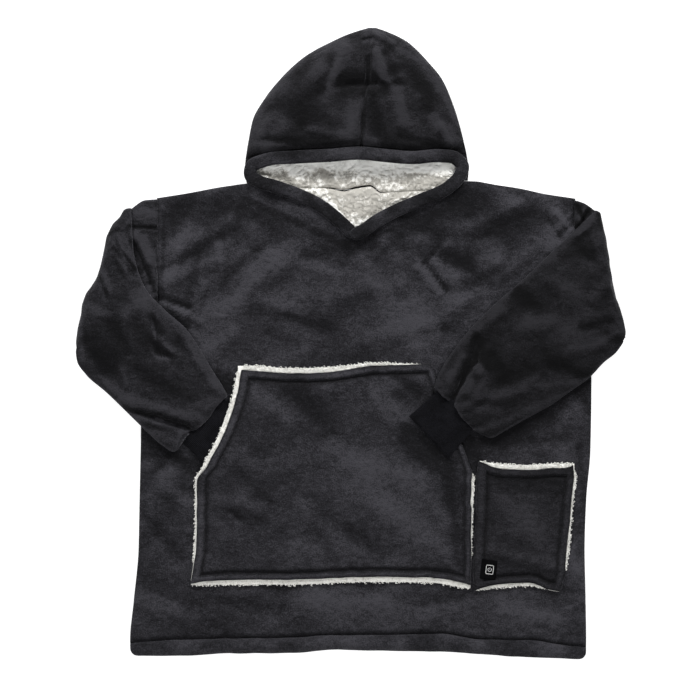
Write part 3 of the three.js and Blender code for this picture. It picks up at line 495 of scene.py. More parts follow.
def from_line(x, y, ax, ay, bx, by):
    """Distance from points to a line between two points."""
    long = (bx - ax) ** 2 + (by - ay) ** 2
    t = np.clip(((x - ax) * (bx - ax) + (y - ay) * (by - ay)) / long, 0, 1)
    return np.hypot(x - lerp(ax, bx, t), y - lerp(ay, by, t))


def inside(outline, x, y):
    """How far points lie inside an outline, negative outside it."""
    nearest = np.full(np.shape(x), np.inf)
    within = np.zeros(np.shape(x), bool)
    for (ax, ay), (bx, by) in zip([outline[-1], *outline[:-1]], outline):
        nearest = np.minimum(nearest, from_line(x, y, ax, ay, bx, by))
        if ay != by:
            crosses = ((ay > y) != (by > y)) & (x < lerp(ax, bx, (y - ay) / (by - ay)))
            within = within ^ crosses
    return np.where(within, nearest, -nearest)


def quarter(distance, radius):
    """A quarter round: 0 at the edge, 1 from the radius inwards."""
    return np.sqrt(1 - (1 - np.clip(distance / radius, 0, 1)) ** 2)


def slope(distance, reach):
    """A soft slope: 1 up to the edge, 0 at the reach outside it."""
    t = np.clip(distance / reach, 0, 1)
    return 1 - t * t * (3 - 2 * t)


def hump(distance, width):
    """A soft rise: 1 on a line, and gone at about twice the width from it."""
    away = distance / width
    return np.exp(-away * away)


def sunk(distance, line):
    """How a sewn line lies sunk in the cloth beside it."""
    return -line["deep"] * hump(distance, line["wide"])


def relief(folds, x, y):
    """What the folds of a table add to a height."""
    total = np.zeros(np.shape(x))
    for fold in folds:
        away = from_line(x, y, fold["ax"], fold["ay"], fold["bx"], fold["by"])
        total = total + fold["rise"] * hump(away, fold["wide"])
    return total


def soft_noise(x, y, size, seed):
    """Smooth, seeded unevenness between -1 and 1, with bumps of about that size."""
    lattice = np.random.default_rng(seed).random((64, 64))
    gx, gy = np.asarray(x) / size + 31.0, np.asarray(y) / size + 17.0
    ix, iy = np.floor(gx).astype(int), np.floor(gy).astype(int)
    fx, fy = gx - ix, gy - iy
    fx, fy = fx * fx * (3 - 2 * fx), fy * fy * (3 - 2 * fy)

    def corner(i, j):
        return lattice[(ix + i) % 64, (iy + j) % 64]

    low = lerp(corner(0, 0), corner(1, 0), fx)
    high = lerp(corner(0, 1), corner(1, 1), fx)
    return 2 * lerp(low, high, fy) - 1


def puckers(x, y, seed, rise):
    """Unevenness of soft cloth at three sizes."""
    broad = soft_noise(x + 0.4 * y, y, 0.085, seed)
    middle = soft_noise(x, y - 0.3 * x, 0.038, seed + 1)
    fine = soft_noise(x, y, 0.016, seed + 2)
    return rise * (0.6 * broad + 0.4 * middle + 0.16 * fine)


def streaks(x, y, seed, degrees, long, short):
    """Soft unevenness drawn out along a direction, as folds are."""
    turn = math.radians(degrees)
    along = x * math.cos(turn) + y * math.sin(turn)
    across = y * math.cos(turn) - x * math.sin(turn)
    return soft_noise(along * short / long, across, short, seed)


def leaning(x, y, left, right, middle, over):
    """Streaks that lean one way on the left and the other way on the right."""
    left_share = 1 / (1 + np.exp((x - middle) / over))
    return lerp(streaks(x, y, *right), streaks(x, y, *left), left_share)


def dents(x, y, pucker, streak, rise):
    """Light hollows in a side that lies on the surface."""
    return np.clip(puckers(x, y, *pucker) + rise * streaks(x, y, *streak), 0, None)


def close_ends(count, share=0.8):
    """Places from 0 to 1, closer together near both ends."""
    even = np.linspace(0, 1, count + 1)
    return even - share * np.sin(2 * math.pi * even) / (2 * math.pi)


def settle(u, v, left, right, bottom, top):
    """Plan points between two sides and between two ends of an outline."""
    x = np.zeros(np.shape(u))
    y = lerp(bottom(x), top(x), v)
    for _ in range(5):
        x = lerp(left(y), right(y), u)
        y = lerp(bottom(x), top(x), v)
    return x, y


def plan(steps, share, left, right, bottom, top):
    """Plan points over an outline, closer together near its edges."""
    u, v = np.meshgrid(close_ends(steps[0], share), close_ends(steps[1], share))
    return settle(u, v, left, right, bottom, top)


LOOKS = "_looks"

# Where the frame puts the garment: the patch is at a known place in both
patch_low, patch_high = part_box("switch_patch")
SHIFT = np.array([
    (patch_low.x + patch_high.x) / 2 - PATCH["x"],
    (patch_low.y + patch_high.y) / 2 - PATCH["y"],
    0.0,
])


def build(name, points, quads, triangles=None, nap=None):
    """A smooth mesh object from arrays, its faces turned outwards, with the tone of its nap and its painted
    light and shade.
    """
    points = np.asarray(points, float)
    a, b, c, d = (points[quads[:, i]] for i in range(4))
    volume = np.sum(np.cross(b, c) * a) + np.sum(np.cross(c, d) * a)
    if volume < 0:
        quads = quads[:, ::-1]
        triangles = None if triangles is None else triangles[:, ::-1]
    loops = [quads.ravel()]
    sizes = [np.full(len(quads), 4)]
    if triangles is not None and len(triangles):
        loops.append(triangles.ravel())
        sizes.append(np.full(len(triangles), 3))
    loops, sizes = np.concatenate(loops), np.concatenate(sizes)
    starts = np.concatenate(([0], np.cumsum(sizes)[:-1]))
    mesh = bpy.data.meshes.new(name + LOOKS)
    mesh.vertices.add(len(points))
    mesh.vertices.foreach_set("co", (points + SHIFT).astype(np.float32).ravel())
    mesh.loops.add(len(loops))
    mesh.loops.foreach_set("vertex_index", loops.astype(np.int32))
    mesh.polygons.add(len(sizes))
    mesh.polygons.foreach_set("loop_start", starts.astype(np.int32))
    mesh.polygons.foreach_set("use_smooth", np.ones(len(sizes), bool))
    mesh.update(calc_edges=True)
    # The nap attribute holds the nap's tone together with painted light and shade: shadows, dark seams and
    # creases, light ridges and edges
    if nap is not None:
        tone = np.tanh(np.asarray(nap, np.float32).ravel() / NAP_FULL)
        values = mesh.attributes.new("nap", "FLOAT", "POINT").data
        values.foreach_set("value", tone.astype(np.float32))
    piece = bpy.data.objects.new(name + LOOKS, mesh)
    bpy.context.scene.collection.objects.link(piece)
    return piece


def grid_quads(rows, columns, start=0):
    at = (np.arange(rows - 1)[:, None] * columns + np.arange(columns - 1)).ravel() + start
    return np.stack([at, at + 1, at + columns + 1, at + columns], 1)


def coarse_faces(index):
    """Faces over a grid in longer steps, fanned out where they meet its finer rim."""
    rows, columns = index.shape[0] - 1, index.shape[1] - 1
    cells = index[::COARSE, ::COARSE]
    corners = cells[1:-2, 1:-2], cells[1:-2, 2:-1], cells[2:-1, 2:-1], cells[2:-1, 1:-2]
    quads = np.stack(corners, -1).reshape(-1, 4)
    fans = []
    for row in range(0, rows, COARSE):
        for place in range(0, columns, COARSE):
            low, high = row == 0, row + COARSE == rows
            left, right = place == 0, place + COARSE == columns
            if not (low or high or left or right):
                continue
            fine = np.arange(COARSE + 1)
            steps = [fine if outer else fine[[0, -1]] for outer in (low, right, high, left)]
            sides = (
                index[row, place + steps[0]],
                index[row + steps[1], place + COARSE],
                index[row + COARSE, place + steps[2][::-1]],
                index[row + steps[3][::-1], place],
            )
            ring = np.concatenate([side[:-1] for side in sides])
            apex = index[row + COARSE * low, place + COARSE * left]
            ring = np.roll(ring, -int(np.argmax(ring == apex)))
            fans += [(ring[0], ring[k], ring[k + 1]) for k in range(1, len(ring) - 1)]
    return quads, np.array(fans)


def sheet(name, x, y, lower, upper, nap=None, coarse=True):
    """A closed sheet over a grid of plan points, its hidden underside coarser."""
    rows, columns = x.shape
    size = rows * columns
    top = np.stack([x, y, upper], -1).reshape(-1, 3)
    under = np.stack([x, y, lower], -1).reshape(-1, 3)
    index = np.arange(size).reshape(rows, columns)
    rim = np.concatenate([index[0, :-1], index[:-1, -1], index[-1, :0:-1], index[:0:-1, 0]])
    to = np.roll(rim, -1)
    walls = np.stack([rim, size + rim, size + to, to], 1)
    if coarse:
        below, fans = coarse_faces(index + size)
    else:
        below, fans = grid_quads(rows, columns, size), np.zeros((0, 3), int)
    quads = np.concatenate([grid_quads(rows, columns), below[:, ::-1], walls])
    used, numbers = np.unique(np.concatenate([quads.ravel(), fans.ravel()]), return_inverse=True)
    quads, fans = numbers[:quads.size].reshape(-1, 4), numbers[quads.size:].reshape(-1, 3)
    both = None if nap is None else np.concatenate([nap.ravel(), nap.ravel()])[used]
    return build(name, np.concatenate([top, under])[used], quads, fans[:, ::-1], both)


def ring_quads(stations, around, start=0):
    k, j = np.meshgrid(np.arange(stations - 1), np.arange(around), indexing="ij")
    a = (k * around + j).ravel() + start
    b = (k * around + (j + 1) % around).ravel() + start
    return np.stack([a, b, b + around, a + around], 1)


def end_caps(stations, around):
    """Fans that close both ends of a tube, at two tips that follow its points."""
    j, tip = np.arange(around), stations * around
    last = tip - around
    return np.concatenate([
        np.stack([np.full(around, tip), np.roll(j, -1), j], 1),
        np.stack([np.full(around, tip + 1), last + j, last + np.roll(j, -1)], 1),
    ])


def wall_tube(name, outer, inner, nap):
    """A closed wall round a hollow, from outer and inner loops, the inner ones further apart."""
    stations, around = outer.shape[:2]
    kept = np.unique([*range(0, stations, COARSE), stations - 1])
    size = stations * around
    j = np.arange(around)
    ends = j, (stations - 1) * around + j
    inner_ends = size + j, size + (len(kept) - 1) * around + j
    shut = [np.stack([a, b, np.roll(b, -1), np.roll(a, -1)], 1) for a, b in zip(ends, inner_ends)]
    quads = np.concatenate([
        ring_quads(stations, around),
        ring_quads(len(kept), around, size)[:, ::-1],
        shut[0],
        shut[1][:, ::-1],
    ])
    points = np.concatenate([outer.reshape(-1, 3), inner[kept].reshape(-1, 3)])
    return build(name, points, quads, nap=np.concatenate([nap.ravel(), nap[kept].ravel()]))


def finer(rows, steps):
    """The columns of a section table, with smooth steps between its rows."""
    index = np.arange(len(rows), dtype=float)
    at = np.linspace(0, len(rows) - 1, (len(rows) - 1) * steps + 1)
    return {name: smooth_line(index, column(rows, name))(at) for name in rows[0]} | {"row": at}


def flat_loop(across):
    """Places round a flattened section: w from edge to edge, d through its thickness."""
    high = (4 * across * (1 - across)) ** 0.25
    w = np.concatenate([across, across[-2:0:-1]])
    d = np.concatenate([high, -high[-2:0:-1]])
    return w, d


# Outlines
body_left, body_right = through(SIDES, "y", "left"), through(SIDES, "y", "right")
hem_edge, hem_stitch = through(HEM, "x", "edge"), through(HEM, "x", "stitch")
shoulder_back = through(SHOULDER, "x", "back")
shoulder_front = through(SHOULDER, "x", "front")
hood_left, hood_right = through(HOOD, "y", "left"), through(HOOD, "y", "right")
hood_seam = through(HOOD_SEAM, "y", "x")
neck_seam = through(NECK_SEAM, "x", "y")
neck_gap = through(NECK_SEAM, "x", "gap")
band_top = through(BAND_TOP, "x", "y")


def folded_outline():
    """The body's folded edges: its sides and shoulders, but not hem, neck or armholes."""
    sides = [row for row in SIDES if row["y"] < ARMHOLE["foot"]]
    at_neck = lambda row: NECK["left"] < row["x"] < NECK["right"]
    return [
        (SIDES[0]["left"], -FAR),
        *((row["left"], row["y"]) for row in sides),
        (ARMHOLE["left"], ARMHOLE["foot"]),
        (ARMHOLE["left"] - FAR, ARMHOLE["foot"]),
        (ARMHOLE["left"] - FAR, SHOULDER_END["left"]),
        *((row["x"], row["back"] + (FAR if at_neck(row) else 0)) for row in SHOULDER),
        (ARMHOLE["right"] + FAR, SHOULDER_END["right"]),
        (ARMHOLE["right"] + FAR, ARMHOLE["foot"]),
        (ARMHOLE["right"], ARMHOLE["foot"]),
        *((row["right"], row["y"]) for row in reversed(sides)),
        (SIDES[0]["right"], -FAR),
    ]


def row_outline(rows, grow=0.0):
    left = [(row["left"] - grow, row["y"]) for row in rows]
    right = [(row["right"] + grow, row["y"]) for row in reversed(rows)]
    return left + right


FOLDED = folded_outline()
BODY_OUTLINE = row_outline(SIDES)
HOOD_OUTLINE = row_outline(HOOD[1:])
POUCH_OUTLINE = row_outline(POUCH, POUCH_PILE["right"])
start, end = CUFF_LEFT
TUCKED = [
    (start["ax"], start["ay"]),
    (start["bx"], start["by"]),
    (end["bx"], end["by"]),
    (end["ax"], end["ay"]),
]


# Heights of the body and of what lies on it
def armhole_groove(x, y):
    """The sewn line at the armholes, sunk into the pile."""
    lines = sunk(x - ARMHOLE["left"], ARMHOLE_SEWN) + sunk(x - ARMHOLE["right"], ARMHOLE_SEWN)
    return lines * (y > ARMHOLE["foot"] - 0.01)


def front_top(x, y):
    edge = quarter(inside(FOLDED, x, y), EDGE_ROUND)
    base = lerp(WALL + SLACK + FRONT_RIM, LAYERS, edge)
    return base + relief(FRONT_FOLDS, x, y) * edge


def painted_fold_light(cloth, x, y):
    """Painted light and shade on folds: lighter on ridges and on the sides that face the hood, where the
    lamps stand, darker in troughs and on the sides away from it.
    """
    step = 0.003
    return 0.7 * cloth(x, y) + 1.6 * (cloth(x, y - step) - cloth(x, y + step))


def front_cloth(x, y):
    folds = 0.0026 * leaning(x, y, *FRONT_STREAKS, 0.0, 0.05) * slope(0.42 - y, 0.25)
    return relief(FRONT_CREASES, x, y) + puckers(x, y, *FRONT_PUCKERS) + folds


def front_looks(x, y):
    """The front's own surface: soft edges, folds from the armholes, and its seams."""
    depth = inside(FOLDED, x, y)
    edge = quarter(depth, EDGE_ROUND)
    free = slope(inside(POUCH_OUTLINE, x, y) + 0.02, 0.02)
    cloth = front_cloth(x, y)
    soft_edge = -0.0034 * (1 - quarter(depth, 0.055))
    seam = sunk(y - hem_stitch(x), HEM_SEWN)
    return front_top(x, y) + edge * (free * cloth + soft_edge) + seam + edge * armhole_groove(x, y)


def back_bottom(x, y):
    return UNDER_LIFT * (1 - quarter(inside(FOLDED, x, y), UNDER_ROUND))


def back_top(x, y):
    return WALL + (SLACK - SEAM) * (1 - quarter(inside(FOLDED, x, y), EDGE_ROUND))


def on_front(x, y):
    return LAYERS + np.maximum(relief(FRONT_FOLDS, x, y), 0)


def pouch_lift(x, y):
    away = -inside(TUCKED, x, y) - TUCK_REACH["flat"]
    return (CUFF + REST) * slope(away, TUCK_REACH["fall"])


def pile_bottom(x, y):
    return on_front(x, y) + SEAM + pouch_lift(x, y)


def face_top(x, y):
    return pile_bottom(x, y) + POCKET_PILE + SEAM + POCKET_FACE


def on_pouch(x, y):
    away = -inside(POUCH_OUTLINE, x, y) - POUCH_REACH["flat"]
    return POCKET * slope(away, POUCH_REACH["fall"])


def body_front():
    x, y = plan(FRONT_STEPS, 0.7, body_left, body_right, hem_stitch, shoulder_front)
    low = np.full(x.shape, WALL + SLACK)
    # The nap carries painted light and shade on the folds, painted strokes, and painted shade in the armhole
    # seams and along the hem's stitches
    nap = painted_fold_light(front_cloth, x, y) + relief(FRONT_PAINTED_STROKES, x, y) + armhole_groove(x, y)
    nap = nap - 0.0080 * hump(y - hem_stitch(x), 0.0040)
    return sheet("body_front", x, y, low, np.maximum(front_looks(x, y), low + 0.001), nap)


def body_back():
    x, y = plan(BACK_STEPS, 0.7, body_left, body_right, hem_stitch, shoulder_back)
    low = back_bottom(x, y) + dents(x, y, BACK_PUCKERS, BACK_STREAKS, 0.0018)
    nap = puckers(x, y, BACK_PUCKERS[0], 0.0033)
    return sheet("body_back", x, y, low, back_top(x, y), nap, coarse=False)


def hem_band():
    """The turned, puffy hem, one band round both layers, with a joint in front."""
    closing = table("at thick lift", (0.93, 0.0150, 0.0004), (0.995, 0.0095, 0.0008))
    sections = finer([*HEM_SECTIONS[:-1], *closing], 6)
    w, d = flat_loop(close_ends(HEM_STEPS, 0.7))
    outer, inner = [], []
    for at, thick, lift in zip(sections["at"], sections["thick"], sections["lift"]):
        corner = 0.014 * (1 - quarter(at, 0.6))
        x0 = lerp(body_left(HEM_DEEP) + corner, body_right(HEM_DEEP) - corner, w)
        y = lerp(hem_edge(x0), hem_stitch(x0), at) + 0.0008 * soft_noise(x0, 0 * x0, 0.03, 5)
        joint = -0.0045 * hump(x0 + 0.021, 0.003)
        puff = 0.0022 * np.sin(math.pi * at) + 0.0018 * soft_noise(x0, 0.3 * y, 0.028, 6) + joint
        middle = thick / 2 + lift
        high = middle + d * thick / 2 + np.where(d > 0, puff * d, 0)
        outer.append(np.stack([x0, y, high], -1))
        wall = (thick - SLACK) / 2
        x1 = lerp(body_left(HEM_DEEP) + corner + wall, body_right(HEM_DEEP) - corner - wall, w)
        y1 = lerp(hem_edge(x1), hem_stitch(x1), at)
        inner.append(np.stack([x1, y1, middle + d * SLACK / 2], -1))
    outer = np.array(outer)
    nap = 0.003 * soft_noise(outer[:, :, 0], outer[:, :, 1], 0.03, 7) + 0.001
    return wall_tube("hem_band", outer, np.array(inner), nap)


def waves(at, reach):
    """How far an edge stands out along its length, given in millimetres."""
    return smooth_line(np.array(at, float), 0.001 * np.array(reach))


def sleeve_rest(side, x, y):
    """What a folded sleeve lies on: its own lower layer, the body, and the surface beside them."""
    foot = (-0.369, 0.642, -0.512, 0.588) if side < 0 else (0.426, 0.627, 0.514, 0.604)
    lower = lerp(foot[1], foot[3], (x - foot[0]) / (foot[2] - foot[0]))
    off_body = -inside(BODY_OUTLINE, x, y)
    off_layer = np.where(side * (x - foot[0]) > 0, lower - y, np.inf)
    off = np.minimum(off_body, off_layer) - SLEEVE_REACH["flat"]
    rest = on_front(x, y) - LAYERS + LAYERS * slope(off, SLEEVE_REACH["fall"])
    return rest + (on_pouch(x, y) if side > 0 else 0)


def gathers(w, to_end):
    """Gathers across a sleeve's lower end."""
    return 0.0018 * np.sin(2 * math.pi * (w * 4.5 + 0.4 * np.sin(8 * w))) * hump(to_end, 1.1)


def sleeve_cloth(side, folds, seed, x, y):
    """A sleeve's folds, puckers and long soft streaks."""
    degrees = 42 if side > 0 else -58
    along = 0.0026 * streaks(x, y, seed + 5, degrees, 0.11, 0.034)
    return relief(folds, x, y) + puckers(x, y, seed, 0.0036) + along


# How far the folded edges of the sleeves stand out past an even bow
FOLD_PLACES = (0, 0.07, 0.15, 0.22, 0.29, 0.36, 0.43, 0.5, 0.57, 0.64, 0.71, 0.78, 0.86, 0.93, 1)
FOLD_WAVES = {
    -1: waves(FOLD_PLACES, (0, -1, 5, 5, 1, -3, -6, -7, -3, 3, 4, 1, 1, 0, 0)),
    1: waves(FOLD_PLACES, (-2, -4, -4, -3, -4, -4, -6, -6, -8, -8, -5, -3, -2, -2, -5)),
}
# How round the fold stays at its lower end, and how far the cloth beside it bulges out
FOLD_FOOT = {-1: 0.62, 1: 0.30}
FOLD_BULGE = {-1: 0.008, 1: 0.0015}
# How far the sleeves' ends reach past their straight sections, and which way that is
END_WAY = {-1: (0.74, -0.67), 1: (-0.72, -0.69)}
END_WAVES = {
    -1: waves((0, 0.2, 0.42, 0.62, 0.74, 0.88, 1), (2, 1, 5, 2, -8, -8, 2)),
    1: waves((0, 0.18, 0.36, 0.44, 0.6, 0.85, 1), (1, 2, -6, -1, 4, 3, -2)),
}


def sleeve_place(side, folds, seed):
    """Places of a sleeve's sections: flat, round the fold, and folded back on top."""
    hinge, radius = LAYERS + SEAM, LAYERS / 2 + SEAM

    def place(section, w, d, looks):
        ax, ay, bx, by = (section[k][:, None] for k in ("ax", "ay", "bx", "by"))
        wide = np.hypot(bx - ax, by - ay)
        out_x, out_y = -side * (by - ay) / wide, side * (bx - ax) / wide
        angle = np.radians(section["turn"])[:, None]
        thick = section["thick"][:, None]
        row, last = section["row"][:, None], section["row"][-1]
        depth = d * (thick if looks else SLACK) / 2
        bend = (radius + depth) * np.sin(angle)
        wave, sewn_in = 0, 0
        if looks:
            dome = quarter(np.minimum(w, 1 - w) * wide, 0.036)
            depth = depth * lerp(0.78, 1.08, dome) * (1 - 0.35 * hump(row, 0.12))
            foot = lerp(FOLD_FOOT[side], 1, quarter((1 - w) * wide, 0.024))
            bend = bend * quarter(w * wide, 0.010) * foot + FOLD_WAVES[side](w) * np.sin(angle)
            bend = bend + FOLD_BULGE[side] * hump(row - 6.2, 0.7) * slope(1 - w, 0.25)
            wave = END_WAVES[side](w) * hump(last - row, 0.9)
            sewn_in = 0.003 * hump(row, 0.12)
        away = section["bow"][:, None] * 4 * w * (1 - w) + bend
        x, y = lerp(ax, bx, w) + out_x * away, lerp(ay, by, w) + out_y * away
        x, y = x + END_WAY[side][0] * wave - side * sewn_in, y + END_WAY[side][1] * wave
        flat = hinge - (radius + depth) * np.cos(angle)
        laid = sleeve_rest(side, x, y) + REST + thick / 2 + depth
        high = np.where(section["turn"][:, None] > 179.9, laid, flat)
        if looks:
            outward = np.clip(np.where(angle > 2, depth, -depth) / (thick / 2), 0, 1)
            cloth = sleeve_cloth(side, folds, seed, x, y) + gathers(w, last - row)
            high = np.maximum(high + outward * np.abs(np.cos(angle)) ** 4 * cloth, 0)
        return np.stack([x, y, high], -1)

    return place


def flat_tube(name, sections, across, place, creases=(), strokes=()):
    """A wall round a flattened hollow, with painted light and shade on its folds, and painted highlights
    along its edges.
    """
    w, d = flat_loop(across)
    wall = (sections["thick"] - SLACK) / 2
    wide = np.hypot(sections["bx"] - sections["ax"], sections["by"] - sections["ay"])
    inset = (wall / wide)[:, None]
    outer = place(sections, np.broadcast_to(w, (len(wide), len(w))), d[None, :], True)
    inner = place(sections, lerp(inset, 1 - inset, w[None, :]), d[None, :], False)
    x, y = outer[:, :, 0], outer[:, :, 1]
    from_edge = np.minimum(w, 1 - w) * wide[:, None]
    from_end = (sections["row"][-1] - sections["row"])[:, None]
    # Painted highlights along the folded edges and towards the lower end
    rim = 0.0090 * (hump(from_edge, 0.0032) + hump(from_end, 0.12))

    def cloth(x, y):
        return relief(creases, x, y) + puckers(x, y, 27, 0.0030)

    nap = painted_fold_light(cloth, x, y) + relief(strokes, x, y) + (rim if creases else 0)
    return wall_tube(name, outer, inner, nap)


def sleeves():
    parts = (
        ("sleeve_left", -1, 21, SLEEVE_LEFT, LEFT_FOLDS, LEFT_CREASES, LEFT_PAINTED_STROKES),
        ("sleeve_right", 1, 31, SLEEVE_RIGHT, RIGHT_FOLDS, RIGHT_CREASES, RIGHT_PAINTED_STROKES),
    )
    for name, side, seed, rows, folds, creases, strokes in parts:
        place = sleeve_place(side, folds + creases, seed)
        yield flat_tube(name, finer(rows, 9), close_ends(SLEEVE_STEPS), place, creases, strokes)


def cuff(name, ends, base):
    """A flat cuff of rib knit, its ribs running along it."""
    head = {k: lerp(ends[0][k], ends[1][k], -0.16) for k in ends[0]}
    sections = finer([{**end, "thick": CUFF} for end in (head, ends[1])], 14)

    def place(section, w, d, looks):
        ax, ay, bx, by = (section[k][:, None] for k in ("ax", "ay", "bx", "by"))
        x, y = lerp(ax, bx, w), lerp(ay, by, w)
        rib = 0.0005 * (1 - np.cos(2 * math.pi * w * 44)) if looks else 0
        depth = d * (section["thick"][:, None] / 2 if looks else SLACK / 2)
        along = section["row"][:, None]
        sag = 0.0007 * soft_noise(x, y, 0.03, 41) if looks else 0
        return np.stack([x, y, base(x, y) + REST + CUFF / 2 + depth - np.sign(d) * rib + sag * along], -1)

    return flat_tube(name, sections, close_ends(264, 0.3), place)


def left_border(border, y):
    """How far the pile stands out on a pocket's left, more along the slant."""
    slanted = np.clip((y - POUCH_SLANT["start"]) / POUCH_SLANT["over"], 0, 1)
    return lerp(border["left"], border["slant"], slanted)


def pocket_plan(pocket, u, v):
    """A pocket's plan points; u or v outside 0 to 1 lies on its border of pile."""
    rows, ends, border = pocket["rows"], pocket["ends"], pocket["border"]
    left, right = through(rows, "y", "left"), through(rows, "y", "right")
    bottom, top = through(ends, "x", "bottom"), through(ends, "x", "top")
    x, y = settle(np.clip(u, 0, 1), np.clip(v, 0, 1), left, right, bottom, top)
    x = x + np.clip(u, None, 0) * left_border(border, y) + np.clip(u - 1, 0, None) * border["right"]
    y = y + np.clip(v, None, 0) * border["bottom"] + np.clip(v - 1, 0, None) * border["top"]
    return x, y


def sewn(insets, at):
    """Sewn lines in from each edge, the puff outside them, and the rounded edge."""
    depth = {"top": 0.0046, "bottom": 0.0046, "left": 0.0026, "right": 0.0026}
    groove, within = 0.0, 1.0
    for side, distance in insets.items():
        within = within * slope(at[side] - distance, 0.004)
        others = np.min([insets[k] - at[k] for k in insets if k != side], axis=0)
        line = depth[side] * hump(distance - at[side], 0.0040)
        groove = np.maximum(groove, line * slope(-others, 0.006))
    nearest = np.min(list(insets.values()), axis=0)
    return -groove - 0.0040 * (1 - quarter(nearest, 0.009)) + 0.0012 * (1 - within)


def pulled_in(pocket, u, v):
    """Plan points of a pocket's face, grown over its pile as far as less of that shows."""
    border, shows = pocket["border"], pocket["shows"]
    x, y = pocket_plan(pocket, u, v)
    left = left_border(border, y)
    over = {side: through(shows[side], "at", "wide")(v if side in ("left", "right") else u) for side in shows}
    x = x - np.clip(left - over["left"], 0, None) * (1 - u) ** 6
    x = x + np.clip(border["right"] - over["right"], 0, None) * u**6
    y = y - np.clip(border["bottom"] - over["bottom"], 0, None) * (1 - v) ** 6
    y = y + np.clip(border["top"] - over["top"], 0, None) * v**6
    wander = 0.0009 * soft_noise(x, y, 0.020, 55)
    return x + wander * (abs(2 * u - 1) > 0.999), y + wander * (abs(2 * v - 1) > 0.999)


def pouch_folds(x, y):
    return relief(POUCH_CREASES, x, y) + puckers(x, y, *POUCH_PUCKERS)


def pocket_face(name, pocket):
    """A pocket's flannel, sewn down along its edges."""
    across, up = pocket["steps"]
    u, v = np.meshgrid(close_ends(across, 0.85), close_ends(up, 0.85))
    low = face_top(*pocket_plan(pocket, u, v)) - POCKET_FACE
    x, y = pulled_in(pocket, u, v)
    insets = {
        "left": np.hypot(x - x[:, :1], 0.3 * (y - y[:, :1])),
        "right": np.hypot(x[:, -1:] - x, 0.3 * (y[:, -1:] - y)),
        "bottom": y - y[:1],
        "top": y[-1:] - y,
    }
    cloth = pouch_folds(x, y) + 0.0012 * streaks(x, y, *POUCH_STREAKS)
    inset = np.min(list(insets.values()), axis=0)
    seams = sewn(insets, pocket["sewn"])
    high = face_top(x, y) + 0.0016 + cloth * quarter(inset, 0.03) + seams
    # The nap carries painted shade in the sewn grooves and on the rounded edges, painted light and shade on
    # the folds, and painted strokes
    nap = painted_fold_light(pouch_folds, x, y) + 1.8 * seams + relief(POUCH_PAINTED_STROKES, x, y)
    return sheet(name, x, y, low, np.maximum(high, low + 0.0012), nap)


def pocket_pile(name, pocket):
    """The sherpa under a pocket's face, which stands out round it."""
    grow = np.array([-1.0, -0.6, -0.25])
    middle = close_ends(PILE_STEPS)
    columns = np.concatenate([grow if pocket["border"]["left"] else [], middle, 1 - grow[::-1]])
    lines = np.concatenate([grow, middle, 1 - grow[::-1]])
    u, v = np.meshgrid(columns, lines)
    x, y = pocket_plan(pocket, u, v)
    base = pile_bottom(x, y)
    outside = np.maximum(np.maximum(-u, u - 1), np.maximum(-v, v - 1))
    pulled = np.where(outside > 0, 0.0012 * (1 - outside), 0)
    return sheet(name + "_pile", x, y, base, base + POCKET_PILE + pulled)


def on_patch(px, py):
    """Plan points from places on the patch, which leans."""
    c, s = math.cos(PATCH["lean"]), math.sin(PATCH["lean"])
    return PATCH["x"] + px * c - py * s, PATCH["y"] + px * s + py * c


def switch_patch():
    u, v = np.meshgrid(close_ends(24), close_ends(24))
    px, py = (u - 0.5) * PATCH["wide"], (v - 0.5) * PATCH["high"]
    x, y = on_patch(px, py)
    edge = np.minimum(PATCH["wide"] / 2 - abs(px), PATCH["high"] / 2 - abs(py))
    base = face_top(x, y) + SEAM
    return sheet("switch_patch", x, y, base, base + PATCH["thick"] * (0.35 + 0.65 * quarter(edge, 0.0015)))


# Heights of the hood
def hood_top(x, y):
    edge = quarter(inside(HOOD_OUTLINE, x, y), HOOD_ROUND)
    across = np.clip(abs(x - HOOD_MIDDLE["x"]) / HOOD_MIDDLE["wide"], 0, 1)
    along = np.clip((y - HOOD_MIDDLE["y"]) / HOOD_MIDDLE["long"], 0, 1)
    crown = HOOD_HIGH - HOOD_SIDE_DROP * across * across - HOOD_PEAK_DROP * along
    return lerp(WALL + SEAM + HOOD_RIM, crown, edge) + relief(HOOD_FOLDS, x, y) * edge


def band_drop(x, y):
    """How far the hood's panels dip to go under the band."""
    return 0.016 * slope(y - band_top(x) + 0.016, 0.026)


def hood_cloth(x, y):
    folds = 0.0022 * leaning(x, y, *HOOD_STREAKS, 0.02, 0.02)
    return relief(HOOD_CREASES, x, y) + puckers(x, y, *HOOD_PUCKERS) + folds


def hood_looks(x, y):
    edge = quarter(inside(HOOD_OUTLINE, x, y), 0.03)
    return hood_top(x, y) + edge * (hood_cloth(x, y) + sunk(x - hood_seam(y), HOOD_SEWN))


def peak(x):
    return 0 * x + PEAK


def hood_back():
    foot = lambda x: shoulder_back(x) + 2 * SEAM
    x, y = plan(HOOD_BACK_STEPS, 0.8, hood_left, hood_right, foot, peak)
    low = UNDER_LIFT * (1 - quarter(inside(HOOD_OUTLINE, x, y), UNDER_ROUND))
    low = low + dents(x, y, HOOD_BACK_PUCKERS, HOOD_BACK_STREAKS, 0.0014)
    nap = puckers(x, y, HOOD_BACK_PUCKERS[0], 0.0036)
    return sheet("hood_back", x, y, low, np.full(x.shape, WALL), nap, coarse=False)


